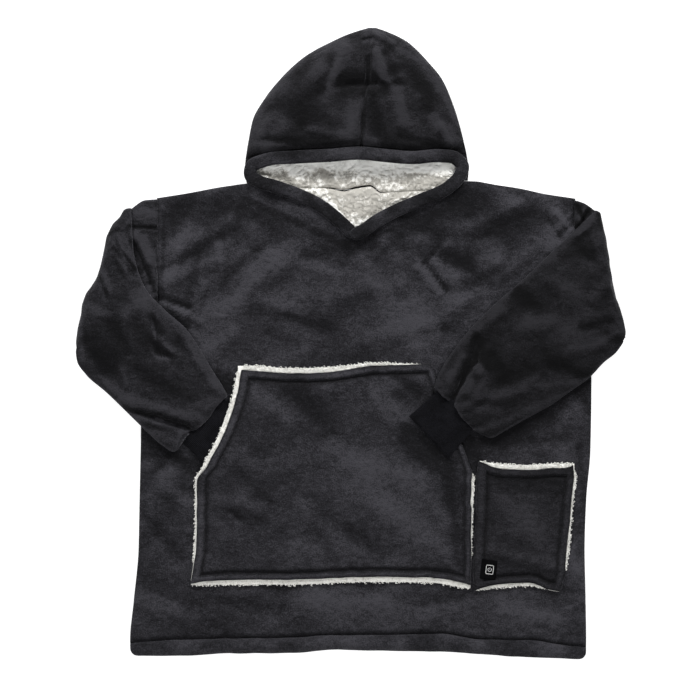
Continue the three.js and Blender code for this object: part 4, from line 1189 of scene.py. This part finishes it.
def hood_panels():
    """The hood's two sides, which meet at its middle seam and end under the band."""
    sides = {
        "hood_left": (hood_left, lambda y: hood_seam(y) - SEAM / 2),
        "hood_right": (lambda y: hood_seam(y) + SEAM / 2, hood_right),
    }
    for name, (left, right) in sides.items():
        x, y = plan(HOOD_STEPS, 0.8, left, right, lambda x: band_top(x) - 0.014, peak)
        drop = band_drop(x, y)
        under = np.maximum(hood_top(x, y) - WALL - drop, WALL + SEAM)
        high = np.maximum(hood_looks(x, y) - drop, under + 0.001)
        # The nap carries painted light and shade on the hood's folds and creases, and painted strokes of
        # shade and highlight
        nap = painted_fold_light(hood_cloth, x, y) + relief(HOOD_FOLDS + HOOD_PAINTED_STROKES, x, y)
        yield sheet(name, x, y, under, high, nap)


def pile_bumps(x, y, seed):
    """The clumps of a curly pile, with thin hollows between them."""
    bend = 0.005 * soft_noise(x, y, 0.012, seed + 3)
    small = abs(soft_noise(x + bend, y, 0.016, seed))
    large = abs(soft_noise(x - y, x + y + bend, 0.023, seed + 1))
    hollows = np.clip(np.minimum(small, large) / 0.22, 0, 1) ** 0.7
    folds = relief(LINING_CREASES, x, y)
    return 0.0016 * hollows + 0.0012 * soft_noise(x, y, 0.0045, seed + 2) + folds


def lining_plans():
    """Plan grids of the sherpa that shows in the mouth."""
    u, v = np.meshgrid(np.linspace(0, 1, 220), np.linspace(0, 1, 97))
    x = lerp(HOOD_LINING["left"] - 0.008, HOOD_LINING["right"] + 0.009, u)
    arch = HOOD_LINING["top"] - HOOD_LINING["drop"] * (2 * u - 1) ** 2
    yield "hood_lining", x, lerp(neck_seam(x), arch, v)
    u, v = np.meshgrid(np.linspace(0, 1, 151), np.linspace(0, 1, 61))
    x = lerp(BACK_LINING["left"] - 0.030, BACK_LINING["right"] + 0.034, u)
    foot = np.minimum(shoulder_front(x) + 2 * LINING_CLEAR, neck_seam(x) - 0.012)
    yield "back_lining", x, lerp(foot, neck_seam(x) - neck_gap(x), v)


def lining_painted_light(x, y):
    """Painted light and shade on the sherpa in the mouth: lighter towards the band, where the hood's shadow
    falls, darker below, with the painted strokes.
    """
    return 0.0050 * np.clip((y - 0.920) / 0.025, -0.5, 1) + relief(LINING_PAINTED_STROKES, x, y)


def hood_rise(x, y):
    """How far the hood's lining rises inside the mouth, below the hood's own cloth."""
    room = hood_top(x, y) - WALL - band_drop(x, y) - (WALL + SEAM + LINING + 0.007)
    return np.minimum(0.006 * (1 - slope(y - 0.900, 0.075)), np.clip(room, 0, None))


def linings():
    for seed, (name, x, y) in enumerate(lining_plans()):
        from_rim = [np.minimum(np.arange(count), np.arange(count)[::-1]) / 6 for count in x.shape]
        edge = quarter(np.minimum(from_rim[1][None, :], from_rim[0][:, None]), 1.0)
        base = np.full(x.shape, WALL + SEAM)
        if name == "hood_lining":
            flap = hood_rise(x, y)
        else:
            flap = 0.0022 * hump(neck_seam(x) - y - 0.012, 0.010)
        bumps = pile_bumps(x, y, 70 + seed)
        high = 0.001 + (LINING - 0.001) * edge + edge * (bumps + flap)
        # The tone paints shade into the pile's hollows and folds and light onto its clumps, and adds the
        # mouth's painted light and shade
        tone = 2.2 * (bumps - 0.0013) + lining_painted_light(x, y)
        yield sheet(name, x, y, base, base + high, tone)


def curve_through(rows, count):
    """Evenly spaced points and level tangents of a smooth path through a table's points."""
    points = np.array([[row["x"], row["y"], row["z"]] for row in rows])
    gaps = np.linalg.norm(np.diff(points, axis=0), axis=1)
    at = np.concatenate(([0], np.cumsum(gaps)))
    fine = np.linspace(0, at[-1], 1200)
    slopes = np.gradient(points, at, axis=0)
    i = np.clip(np.searchsorted(at, fine, side="right") - 1, 0, len(at) - 2)
    span = (at[i + 1] - at[i])[:, None]
    t = ((fine - at[i]) / (at[i + 1] - at[i]))[:, None]
    path = lerp(points[i], points[i + 1], (3 - 2 * t) * t * t)
    path = path + t * (1 - t) * span * (slopes[i] * (1 - t) - slopes[i + 1] * t)
    length = np.concatenate(([0], np.cumsum(np.linalg.norm(np.diff(path, axis=0), axis=1))))
    even = np.linspace(0, length[-1], count)
    path = np.stack([np.interp(even, length, path[:, k]) for k in range(3)], 1)
    along = np.gradient(path, axis=0)
    along[:, 2] = 0
    return path, along / np.linalg.norm(along, axis=1)[:, None], even


def hood_band():
    """The folded band round the mouth, with the line of its stitches near its outer edge."""
    path, along, length = curve_through(BAND, BAND_STEPS)
    shown = length < length[-1] - 0.008
    path, along, length = path[shown], along[shown], length[shown]
    from_end = np.minimum(length + 0.004, length[-1] - length + 0.002)
    taper = quarter(from_end, 0.016)
    angle = np.linspace(0, 2 * math.pi, 36, endpoint=False)
    across = np.sign(np.cos(angle)) * abs(np.cos(angle)) ** 0.85 * BAND_WIDE / 2
    up = np.sign(np.sin(angle)) * abs(np.sin(angle)) ** 0.95 * BAND_HIGH / 2
    left = np.stack([-along[:, 1], along[:, 0], 0 * length], 1)
    puff = 0.0008 * soft_noise(length[:, None] + 0 * angle, 0.02 * angle + 0 * length[:, None], 0.018, 81)
    points = path[:, None, :] + left[:, None, :] * across[None, :, None] * taper[:, None, None]
    points[:, :, 2] += up[None, :] * (1.12 + puff / BAND_HIGH * 2) * lerp(0.5, 1, taper[:, None])
    mark = hump(points[:, :, 0] - 0.019, 0.0022) * (points[:, :, 1] > 0.94)
    points[:, :, 2] -= 0.0018 * mark * (up[None, :] > 0)
    ends = np.array([points[0].mean(0), points[-1].mean(0)])
    points = np.concatenate([points.reshape(-1, 3), ends])
    quads, caps = ring_quads(len(length), len(angle)), end_caps(len(length), len(angle))
    return build("hood_band", points, quads, caps, 0.0035 * soft_noise(points[:, 0], points[:, 1], 0.026, 82))


def curls(name, roots, size, seed, nap=None):
    """Small curled locks of pile in one mesh, each a tapered hook with closed ends."""
    rng = np.random.default_rng(seed)
    count, rings, around = len(roots), 5, 3
    heading = rng.uniform(0, 2 * math.pi, count)[:, None]
    tilt = rng.uniform(0.25, 1.1, count)[:, None]
    bend = (size * rng.uniform(0.7, 1.35, count))[:, None, None]
    sweep = rng.uniform(2.4, 4.4, count)[:, None]
    e1 = np.stack([np.cos(heading), np.sin(heading), 0 * heading], -1)
    e2 = np.stack([-np.sin(heading) * np.cos(tilt), np.cos(heading) * np.cos(tilt), np.sin(tilt)], -1)
    e3 = np.cross(e1, e2)
    angle = (sweep * np.linspace(0, 1, rings))[:, :, None]
    path = roots[:, None, :] + bend * (e1 * np.sin(angle) + e2 * (1 - np.cos(angle)))
    radial = e1 * np.sin(angle) - e2 * np.cos(angle)
    thick = size * 0.42 * np.array([0.6, 1.05, 1.05, 0.75, 0.35])[None, :, None, None]
    phi = np.linspace(0, 2 * math.pi, around, endpoint=False)[None, None, :, None]
    ring = np.cos(phi) * radial[:, :, None, :] + np.sin(phi) * e3[:, :, None, :]
    rim = path[:, :, None, :] + thick * ring
    each = rings * around + 2
    points = np.concatenate([rim.reshape(count, rings * around, 3), path[:, [0, -1], :]], 1).reshape(-1, 3)
    shift = (np.arange(count) * each)[:, None, None]
    quads = (ring_quads(rings, around)[None] + shift).reshape(-1, 4)
    caps = (end_caps(rings, around)[None] + shift).reshape(-1, 3)
    return build(name, points, quads, caps, None if nap is None else np.repeat(nap, each))


def lining_curls():
    """Locks all over the sherpa in the mouth."""
    for seed, (name, x, y) in enumerate(lining_plans()):
        rng = np.random.default_rng(90 + seed)
        count = LINING_LOCKS[name]
        row = rng.integers(2, x.shape[0] - 2, count)
        place = rng.integers(2, x.shape[1] - 2, count)
        x, y = x[row, place], y[row, place]
        rise = hood_rise(x, y) if name == "hood_lining" else 0
        roots = np.stack([x, y, WALL + SEAM + LINING - 0.0002 + rise + 0 * x], 1)
        roots[:, :2] += rng.uniform(-0.0015, 0.0015, (count, 2))
        # The locks carry the mouth's painted light and shade
        tone = 1.2 * lining_painted_light(roots[:, 0], roots[:, 1])
        yield name, curls(name + "_curls", roots, LOCK_SIZE["lining"], 95 + seed, tone)


def pile_shows(pocket, u, v):
    """Which places on a pocket's border lie past the flannel, where some pile shows."""
    shown = np.zeros(len(u), bool)
    beyond = {"left": -u, "right": u - 1, "bottom": -v, "top": v - 1}
    for side, out in beyond.items():
        along = np.clip(v if side in ("left", "right") else u, 0, 1)
        wide = through(pocket["shows"][side], "at", "wide")(along)
        full = pocket["border"]["slant" if side == "left" else side]
        shown |= (out > 0) & (wide > 0.0008) & (out * full > full - wide - 0.002)
    return shown


def pocket_curls():
    """Ragged locks along the pile that stands out round the pockets."""
    for seed, (name, pocket) in enumerate(POCKETS.items()):
        rng = np.random.default_rng(97 + seed)
        u, v = [], []
        for side, count in pocket["locks"].items():
            out, along = rng.uniform(0.0, 1.06, count), rng.uniform(-0.01, 1.01, count)
            across = -out if side in ("left", "bottom") else 1 + out
            u.append(across if side in ("left", "right") else along)
            v.append(along if side in ("left", "right") else across)
        u, v = np.concatenate(u), np.concatenate(v)
        shown = pile_shows(pocket, u, v)
        x, y = pocket_plan(pocket, u, v)
        x, y = x[shown], y[shown]
        high = pile_bottom(x, y) + POCKET_PILE - 0.0008 + rng.uniform(0, 0.0012, len(x))
        yield name, curls(name + "_curls", np.stack([x, y, high], 1), LOCK_SIZE["pocket"], 99 + seed)


def raised_line(points, wide, high, closed):
    """A flat raised line along plan points: corners of its section and its faces."""
    points = np.asarray(points, float)
    if closed:
        along = np.roll(points, -1, 0) - np.roll(points, 1, 0)
    else:
        along = np.gradient(points, axis=0)
    along /= np.linalg.norm(along, axis=1)[:, None]
    left = np.stack([-along[:, 1], along[:, 0]], 1) * wide / 2
    count = len(points)
    low, top = np.zeros((count, 1)), np.full((count, 1), high)
    corners = [
        np.hstack([points + left, low]),
        np.hstack([points - left, low]),
        np.hstack([points - left * 0.8, top]),
        np.hstack([points + left * 0.8, top]),
    ]
    spots = np.stack(corners, 1).reshape(-1, 3)
    j = np.arange(4)
    quads = ring_quads(count, 4)
    last = (count - 1) * 4
    if closed:
        quads = np.concatenate([quads, np.stack([last + j, last + np.roll(j, -1), np.roll(j, -1), j], 1)])
    else:
        quads = np.concatenate([quads, [[3, 2, 1, 0]], [[last, last + 1, last + 2, last + 3]]])
    return spots, quads


def patch_print():
    """A power symbol in a rounded square, raised on the switch patch."""
    turns = np.linspace(0, 2 * math.pi, 96, endpoint=False)
    corner = 0.22
    square = np.stack([
        0.0068 * np.sign(np.cos(turns)) * abs(np.cos(turns)) ** corner,
        0.0082 * np.sign(np.sin(turns)) * abs(np.sin(turns)) ** corner,
    ], 1)
    arc = np.radians(np.linspace(128, 412, 40))
    ring = 0.0034 * np.stack([np.cos(arc), np.sin(arc)], 1)
    bar = np.stack([np.zeros(5), np.linspace(0.0002, 0.0042, 5)], 1)
    lines = ((square, 0.0009, True), (ring, 0.0007, False), (bar, 0.0007, False))
    spots, quads, start = [], [], 0
    for path, wide, closed in lines:
        points, faces = raised_line(path, wide, 0.0003, closed)
        spots.append(points)
        quads.append(faces + start)
        start += len(points)
    spots = np.concatenate(spots)
    x, y = on_patch(spots[:, 0] + 0.0022, spots[:, 1])
    base = face_top(x, y) + SEAM + PATCH["thick"]
    return build("patch_print", np.stack([x, y, base + spots[:, 2]], 1), np.concatenate(quads))


# Materials: where each colour stands on a scale of greys
FLANNEL_COLOURS = (
    (0.34, (0.0036, 0.0035, 0.0043)),
    (0.50, (0.0150, 0.0147, 0.0175)),
    (0.66, (0.0400, 0.0390, 0.0455)),
)
SHERPA_COLOURS = ((0.30, (0.40, 0.385, 0.35)), (0.48, (0.80, 0.79, 0.75)), (0.72, (0.93, 0.93, 0.90)))
RIB_COLOURS = ((0.35, (0.0015, 0.0015, 0.002)), (0.65, (0.008, 0.008, 0.010)))
PATCH_COLOURS = ((0.0010, 0.0010, 0.0012), (0.0030, 0.0030, 0.0034))
PRINT_COLOURS = ((0.62, 0.62, 0.62), (0.80, 0.80, 0.80))
# How light each part's copy of the flannel is, partly the nap's tone and partly painted shade, and how
# strongly its nap and painted light and shade show
FLANNELS = {
    "body": (1.0, 0.17),
    "sleeve_left": (0.64, 0.20),
    "sleeve_right": (0.39, 0.22),
    "hood": (0.51, 0.19),
    "band": (0.80, 0.20),
    "side_pocket": (0.61, 0.14),
}


def new_material(name, settings):
    """A material with its shader's constant settings, its object coordinates and its node tree."""
    finish = bpy.data.materials.new(name)
    finish.use_nodes = True
    tree = finish.node_tree
    shader = tree.nodes["Principled BSDF"]
    for socket, value in settings.items():
        shader.inputs[socket].default_value = value
    return finish, tree, shader, tree.nodes.new("ShaderNodeTexCoord").outputs["Object"]


def node(tree, kind, wires, **values):
    """A node of a material, with its wires from other nodes and its constant values."""
    made = tree.nodes.new("ShaderNode" + kind)
    for socket, source in wires.items():
        tree.links.new(source, made.inputs[socket])
    for socket, value in values.items():
        made.inputs[socket].default_value = value
    return made


def noise(tree, where, scale, detail=3.0, distortion=0.0):
    made = node(tree, "TexNoise", {"Vector": where}, Scale=scale, Detail=detail, Distortion=distortion)
    return made.outputs["Fac"]


def nap_and_painted_light(tree):
    """The nap's tone and the painted light and shade, from the mesh."""
    made = tree.nodes.new("ShaderNodeAttribute")
    made.attribute_name = "nap"
    return made.outputs["Fac"]


def combine(tree, *parts):
    """A weighted sum of greys."""
    total = None
    for weight, value in parts:
        scaled = tree.nodes.new("ShaderNodeMath")
        scaled.operation = "MULTIPLY_ADD"
        scaled.inputs[1].default_value = weight
        tree.links.new(value, scaled.inputs[0])
        if total is None:
            scaled.inputs[2].default_value = 0.0
        else:
            tree.links.new(total, scaled.inputs[2])
        total = scaled.outputs[0]
    return total


def ramp(tree, value, *stops, shade=1):
    """Colours for a grey, all scaled by a shade."""
    made = tree.nodes.new("ShaderNodeValToRGB")
    while len(made.color_ramp.elements) < len(stops):
        made.color_ramp.elements.new(0.5)
    for element, (place, colour) in zip(made.color_ramp.elements, stops):
        element.position = place
        element.color = (*(part * shade for part in colour), 1)
    tree.links.new(value, made.inputs["Fac"])
    return made.outputs["Color"]


def bump(tree, height, strength, distance):
    return node(tree, "Bump", {"Height": height}, Strength=strength, Distance=distance).outputs["Normal"]


def stretched(tree, where, degrees, share):
    """Coordinates turned and drawn out, for strokes that run one way."""
    turn = (0, 0, math.radians(degrees))
    return node(tree, "Mapping", {"Vector": where}, Rotation=turn, Scale=(share, 1, 1)).outputs["Vector"]


def flannel(name, shade, nap_and_light_weight):
    """Brushed fleece: soft lighter and darker strokes of the nap, fine fibres, and the painted light and
    shade that the mesh carries.
    """
    finish, tree, shader, where = new_material(name, {
        "Roughness": 0.9,
        "Specular IOR Level": 0.12,
        "Sheen Weight": 0.42 * shade,
        "Sheen Roughness": 0.38,
        "Sheen Tint": (0.48, 0.48, 0.53, 1),
    })
    broad = noise(tree, where, 12, 1.5, 0.6)
    strokes = noise(tree, stretched(tree, where, -50, 0.6), 34, 2.5, 0.9)
    tufts = noise(tree, stretched(tree, where, -70, 0.6), 140, 3, 0.5)
    fibres = noise(tree, where, 480, 2)
    parts = (0.05, broad), (0.12, strokes), (0.28, tufts), (0.55, fibres), (nap_and_light_weight, nap_and_painted_light(tree))
    colour = ramp(tree, combine(tree, *parts), *FLANNEL_COLOURS, shade=shade)
    tree.links.new(colour, shader.inputs["Base Color"])
    nap = bump(tree, combine(tree, (0.7, strokes), (0.3, tufts)), 0.8, 0.008)
    pile = bump(tree, fibres, 0.8, 0.0016)
    tree.links.new(nap, pile.node.inputs["Normal"])
    tree.links.new(pile, shader.inputs["Normal"])
    return finish


def sherpa(name, shade):
    """Off-white curly pile, with painted shade in thin cracks between its clumps, and the painted light and
    shade that the mesh carries.
    """
    settings = {"Roughness": 0.95, "Specular IOR Level": 0.15, "Sheen Weight": 0.25}
    finish, tree, shader, where = new_material(name, settings)
    clumps = noise(tree, where, 150, 3, 1.2)
    fibres = noise(tree, where, 900, 2, 0.4)
    bent = node(tree, "MixRGB", {"Color1": where, "Color2": clumps.node.outputs["Color"]}, Fac=0.012)
    # Thin darker cracks between the clumps: painted shade
    cells = node(tree, "TexVoronoi", {"Vector": bent.outputs["Color"]}, Scale=78)
    cells.feature = "DISTANCE_TO_EDGE"
    painted_crack_shade = ramp(tree, cells.outputs["Distance"], (0.0, (0, 0, 0)), (0.10, (1, 1, 1)))
    grey = combine(tree, (0.55, clumps), (0.33, fibres), (0.10, painted_crack_shade), (0.32, nap_and_painted_light(tree)))
    colour = ramp(tree, grey, *SHERPA_COLOURS, shade=shade)
    tree.links.new(colour, shader.inputs["Base Color"])
    tree.links.new(bump(tree, grey, 0.5, 0.001), shader.inputs["Normal"])
    return finish


def rib_knit(name):
    """Black elastic rib."""
    settings = {"Roughness": 0.9, "Specular IOR Level": 0.05, "Sheen Weight": 0.02}
    finish, tree, shader, where = new_material(name, settings)
    yarn = noise(tree, where, 480, 3, 0.3)
    worn = noise(tree, where, 40, 2, 0.6)
    colour = ramp(tree, combine(tree, (0.6, yarn), (0.4, worn)), *RIB_COLOURS)
    tree.links.new(colour, shader.inputs["Base Color"])
    tree.links.new(bump(tree, yarn, 0.5, 0.0008), shader.inputs["Normal"])
    return finish


def rubber(name, dark, light, gloss):
    """Matte moulded patch, or the light ink on it."""
    finish, tree, shader, where = new_material(name, {"Roughness": 0.7, "Specular IOR Level": gloss})
    grain = noise(tree, where, 1500, 2)
    wear = noise(tree, where, 120, 3)
    colour = ramp(tree, combine(tree, (0.5, grain), (0.5, wear)), (0.35, dark), (0.65, light))
    tree.links.new(colour, shader.inputs["Base Color"])
    tree.links.new(bump(tree, grain, 0.25, 0.0003), shader.inputs["Normal"])
    return finish


def dress(piece, finish):
    piece.data.materials.clear()
    piece.data.materials.append(finish)
    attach(piece, "root")
    return piece


def flannel_part(name):
    """Which of the flannels a piece is made of."""
    if name == "hood_band":
        return "band"
    for part in (name, name.split("_")[0]):
        if part in FLANNELS:
            return part
    return "body"


def sheets():
    """Every sheet of the garment."""
    yield body_front()
    yield body_back()
    yield hem_band()
    yield from sleeves()
    yield hood_back()
    yield from hood_panels()
    yield hood_band()
    for name, pocket in POCKETS.items():
        yield pocket_face(name, pocket)
        yield pocket_pile(name, pocket)
    yield from linings()
    yield cuff("cuff_left", CUFF_LEFT, on_front)
    yield cuff("cuff_right", CUFF_RIGHT, lambda x, y: on_front(x, y) + on_pouch(x, y))


# What each sheet was cut to: width, length, flat area, how it lies, and on what
CUTS = {
    "body_back": ((0.870, 0.880), 0.730, "laid", ()),
    "body_front": ((0.870, 0.860), 0.720, "laid", ("body_back",)),
    "hem_band": ((1.730, 0.042), 0.070, "folded", ("body_front",)),
    "sleeve_left": ((0.520, 0.520), 0.190, "folded", ("body_front",)),
    "sleeve_right": ((0.520, 0.520), 0.190, "folded", ("body_front",)),
    "cuff_left": ((0.230, 0.080), 0.0184, "laid", ("body_front",)),
    "cuff_right": ((0.230, 0.080), 0.0184, "laid", ("pouch_pocket",)),
    "pouch_pocket": ((0.525, 0.400), 0.180, "laid", ("body_front",)),
    "pouch_pocket_pile": ((0.540, 0.420), 0.190, "laid", ("body_front",)),
    "side_pocket": ((0.190, 0.230), 0.040, "laid", ("body_front",)),
    "side_pocket_pile": ((0.195, 0.245), 0.043, "laid", ("body_front",)),
    "hood_back": ((0.440, 0.320), 0.105, "laid", ()),
    "hood_left": ((0.230, 0.270), 0.045, "folded", ("hood_back",)),
    "hood_right": ((0.230, 0.270), 0.045, "folded", ("hood_back",)),
    "hood_lining": ((0.370, 0.130), 0.045, "laid", ("hood_back",)),
    "back_lining": ((0.220, 0.085), 0.014, "laid", ("body_back",)),
    "hood_band": ((0.028, 1.250), 0.035, "folded", ("body_front",)),
}


def dressed():
    """Every piece of the garment with its material."""
    naps = {part: flannel("flannel_" + part, *looks) for part, looks in FLANNELS.items()}
    cream = sherpa("cream_sherpa", 1.0)
    # A slightly darker copy for the sherpa in the mouth: painted shade
    inner = sherpa("cream_sherpa_inside", 0.97)
    black = rib_knit("black_rib")
    cloth = list(sheets())
    locks = dict([*lining_curls(), *pocket_curls()])
    for name, piece in locks.items():
        dress(piece, inner if "lining" in name else cream)
    for piece in cloth:
        name = piece.name.removesuffix(LOOKS)
        if "lining" in name:
            dress(piece, inner)
        elif "pile" in name:
            dress(piece, cream)
        elif name.startswith("cuff"):
            dress(piece, black)
        else:
            dress(piece, naps[flannel_part(name)])
        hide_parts(name)
        flat, area, held, rests_on = CUTS[name]
        own = locks.get(name.removesuffix("_pile")) if "pile" in name or "lining" in name else None
        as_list(rests_on)
    patch = dress(switch_patch(), rubber("patch_black", *PATCH_COLOURS, 0.02))
    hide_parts("switch_patch")
    dress(patch_print(), rubber("print_white", *PRINT_COLOURS, 0.3))


# The camera's place and the width it sees, and the lamps: place, size and power
EYE = (-0.0031, -0.0120, 5.0)
VIEW_WIDE = 1.33
LAMPS = {
    "key_left": ((-1.4, 2.7, 1.9), 0.8, 98),
    "key_right": ((1.4, 2.7, 1.9), 0.8, 92),
    "fill": ((0.0, -2.0, 2.6), 1.4, 56),
}


def white_floor(scene):
    mesh = bpy.data.meshes.new("floor")
    mesh.from_pydata([(-6, -6, 0), (6, -6, 0), (6, 6, 0), (-6, 6, 0)], [], [(0, 1, 2, 3)])
    floor = bpy.data.objects.new("floor", mesh)
    scene.collection.objects.link(floor)
    settings = {"Roughness": 0.9, "Emission Color": (1, 1, 1, 1), "Emission Strength": 0.72}
    finish, tree, shader, where = new_material("floor_white", settings)
    grain = noise(tree, where, 300, 2)
    colour = ramp(tree, grain, (0.3, (0.54, 0.54, 0.54)), (0.7, (0.56, 0.56, 0.56)))
    tree.links.new(colour, shader.inputs["Base Color"])
    mesh.materials.append(finish)


def soft_light(scene):
    world = bpy.data.worlds.new("studio")
    world.use_nodes = True
    sky = world.node_tree.nodes["Background"].inputs
    sky["Color"].default_value = (1, 1, 1, 1)
    sky["Strength"].default_value = 0.20
    scene.world = world
    for name, (place, size, power) in LAMPS.items():
        light = bpy.data.lights.new(name, "AREA")
        light.size, light.energy = size, power
        lamp = bpy.data.objects.new(name, light)
        lamp.location = place
        aim = -np.array(place)
        tilt = math.atan2(math.hypot(aim[0], aim[1]), -aim[2])
        lamp.rotation_euler = (tilt, 0, math.atan2(aim[0], -aim[1]) + math.pi)
        scene.collection.objects.link(lamp)


def studio():
    """A pale floor, soft light from the hood's side, and the camera straight above."""
    scene = bpy.context.scene
    white_floor(scene)
    soft_light(scene)
    camera = bpy.data.cameras.new("camera")
    camera.sensor_width = 36
    camera.lens = 36 * EYE[2] / VIEW_WIDE
    camera.clip_end = 100
    eye = bpy.data.objects.new("camera", camera)
    eye.location = EYE
    scene.collection.objects.link(eye)
    scene.camera = eye
    scene.view_settings.view_transform = "Standard"


studio()
dressed()
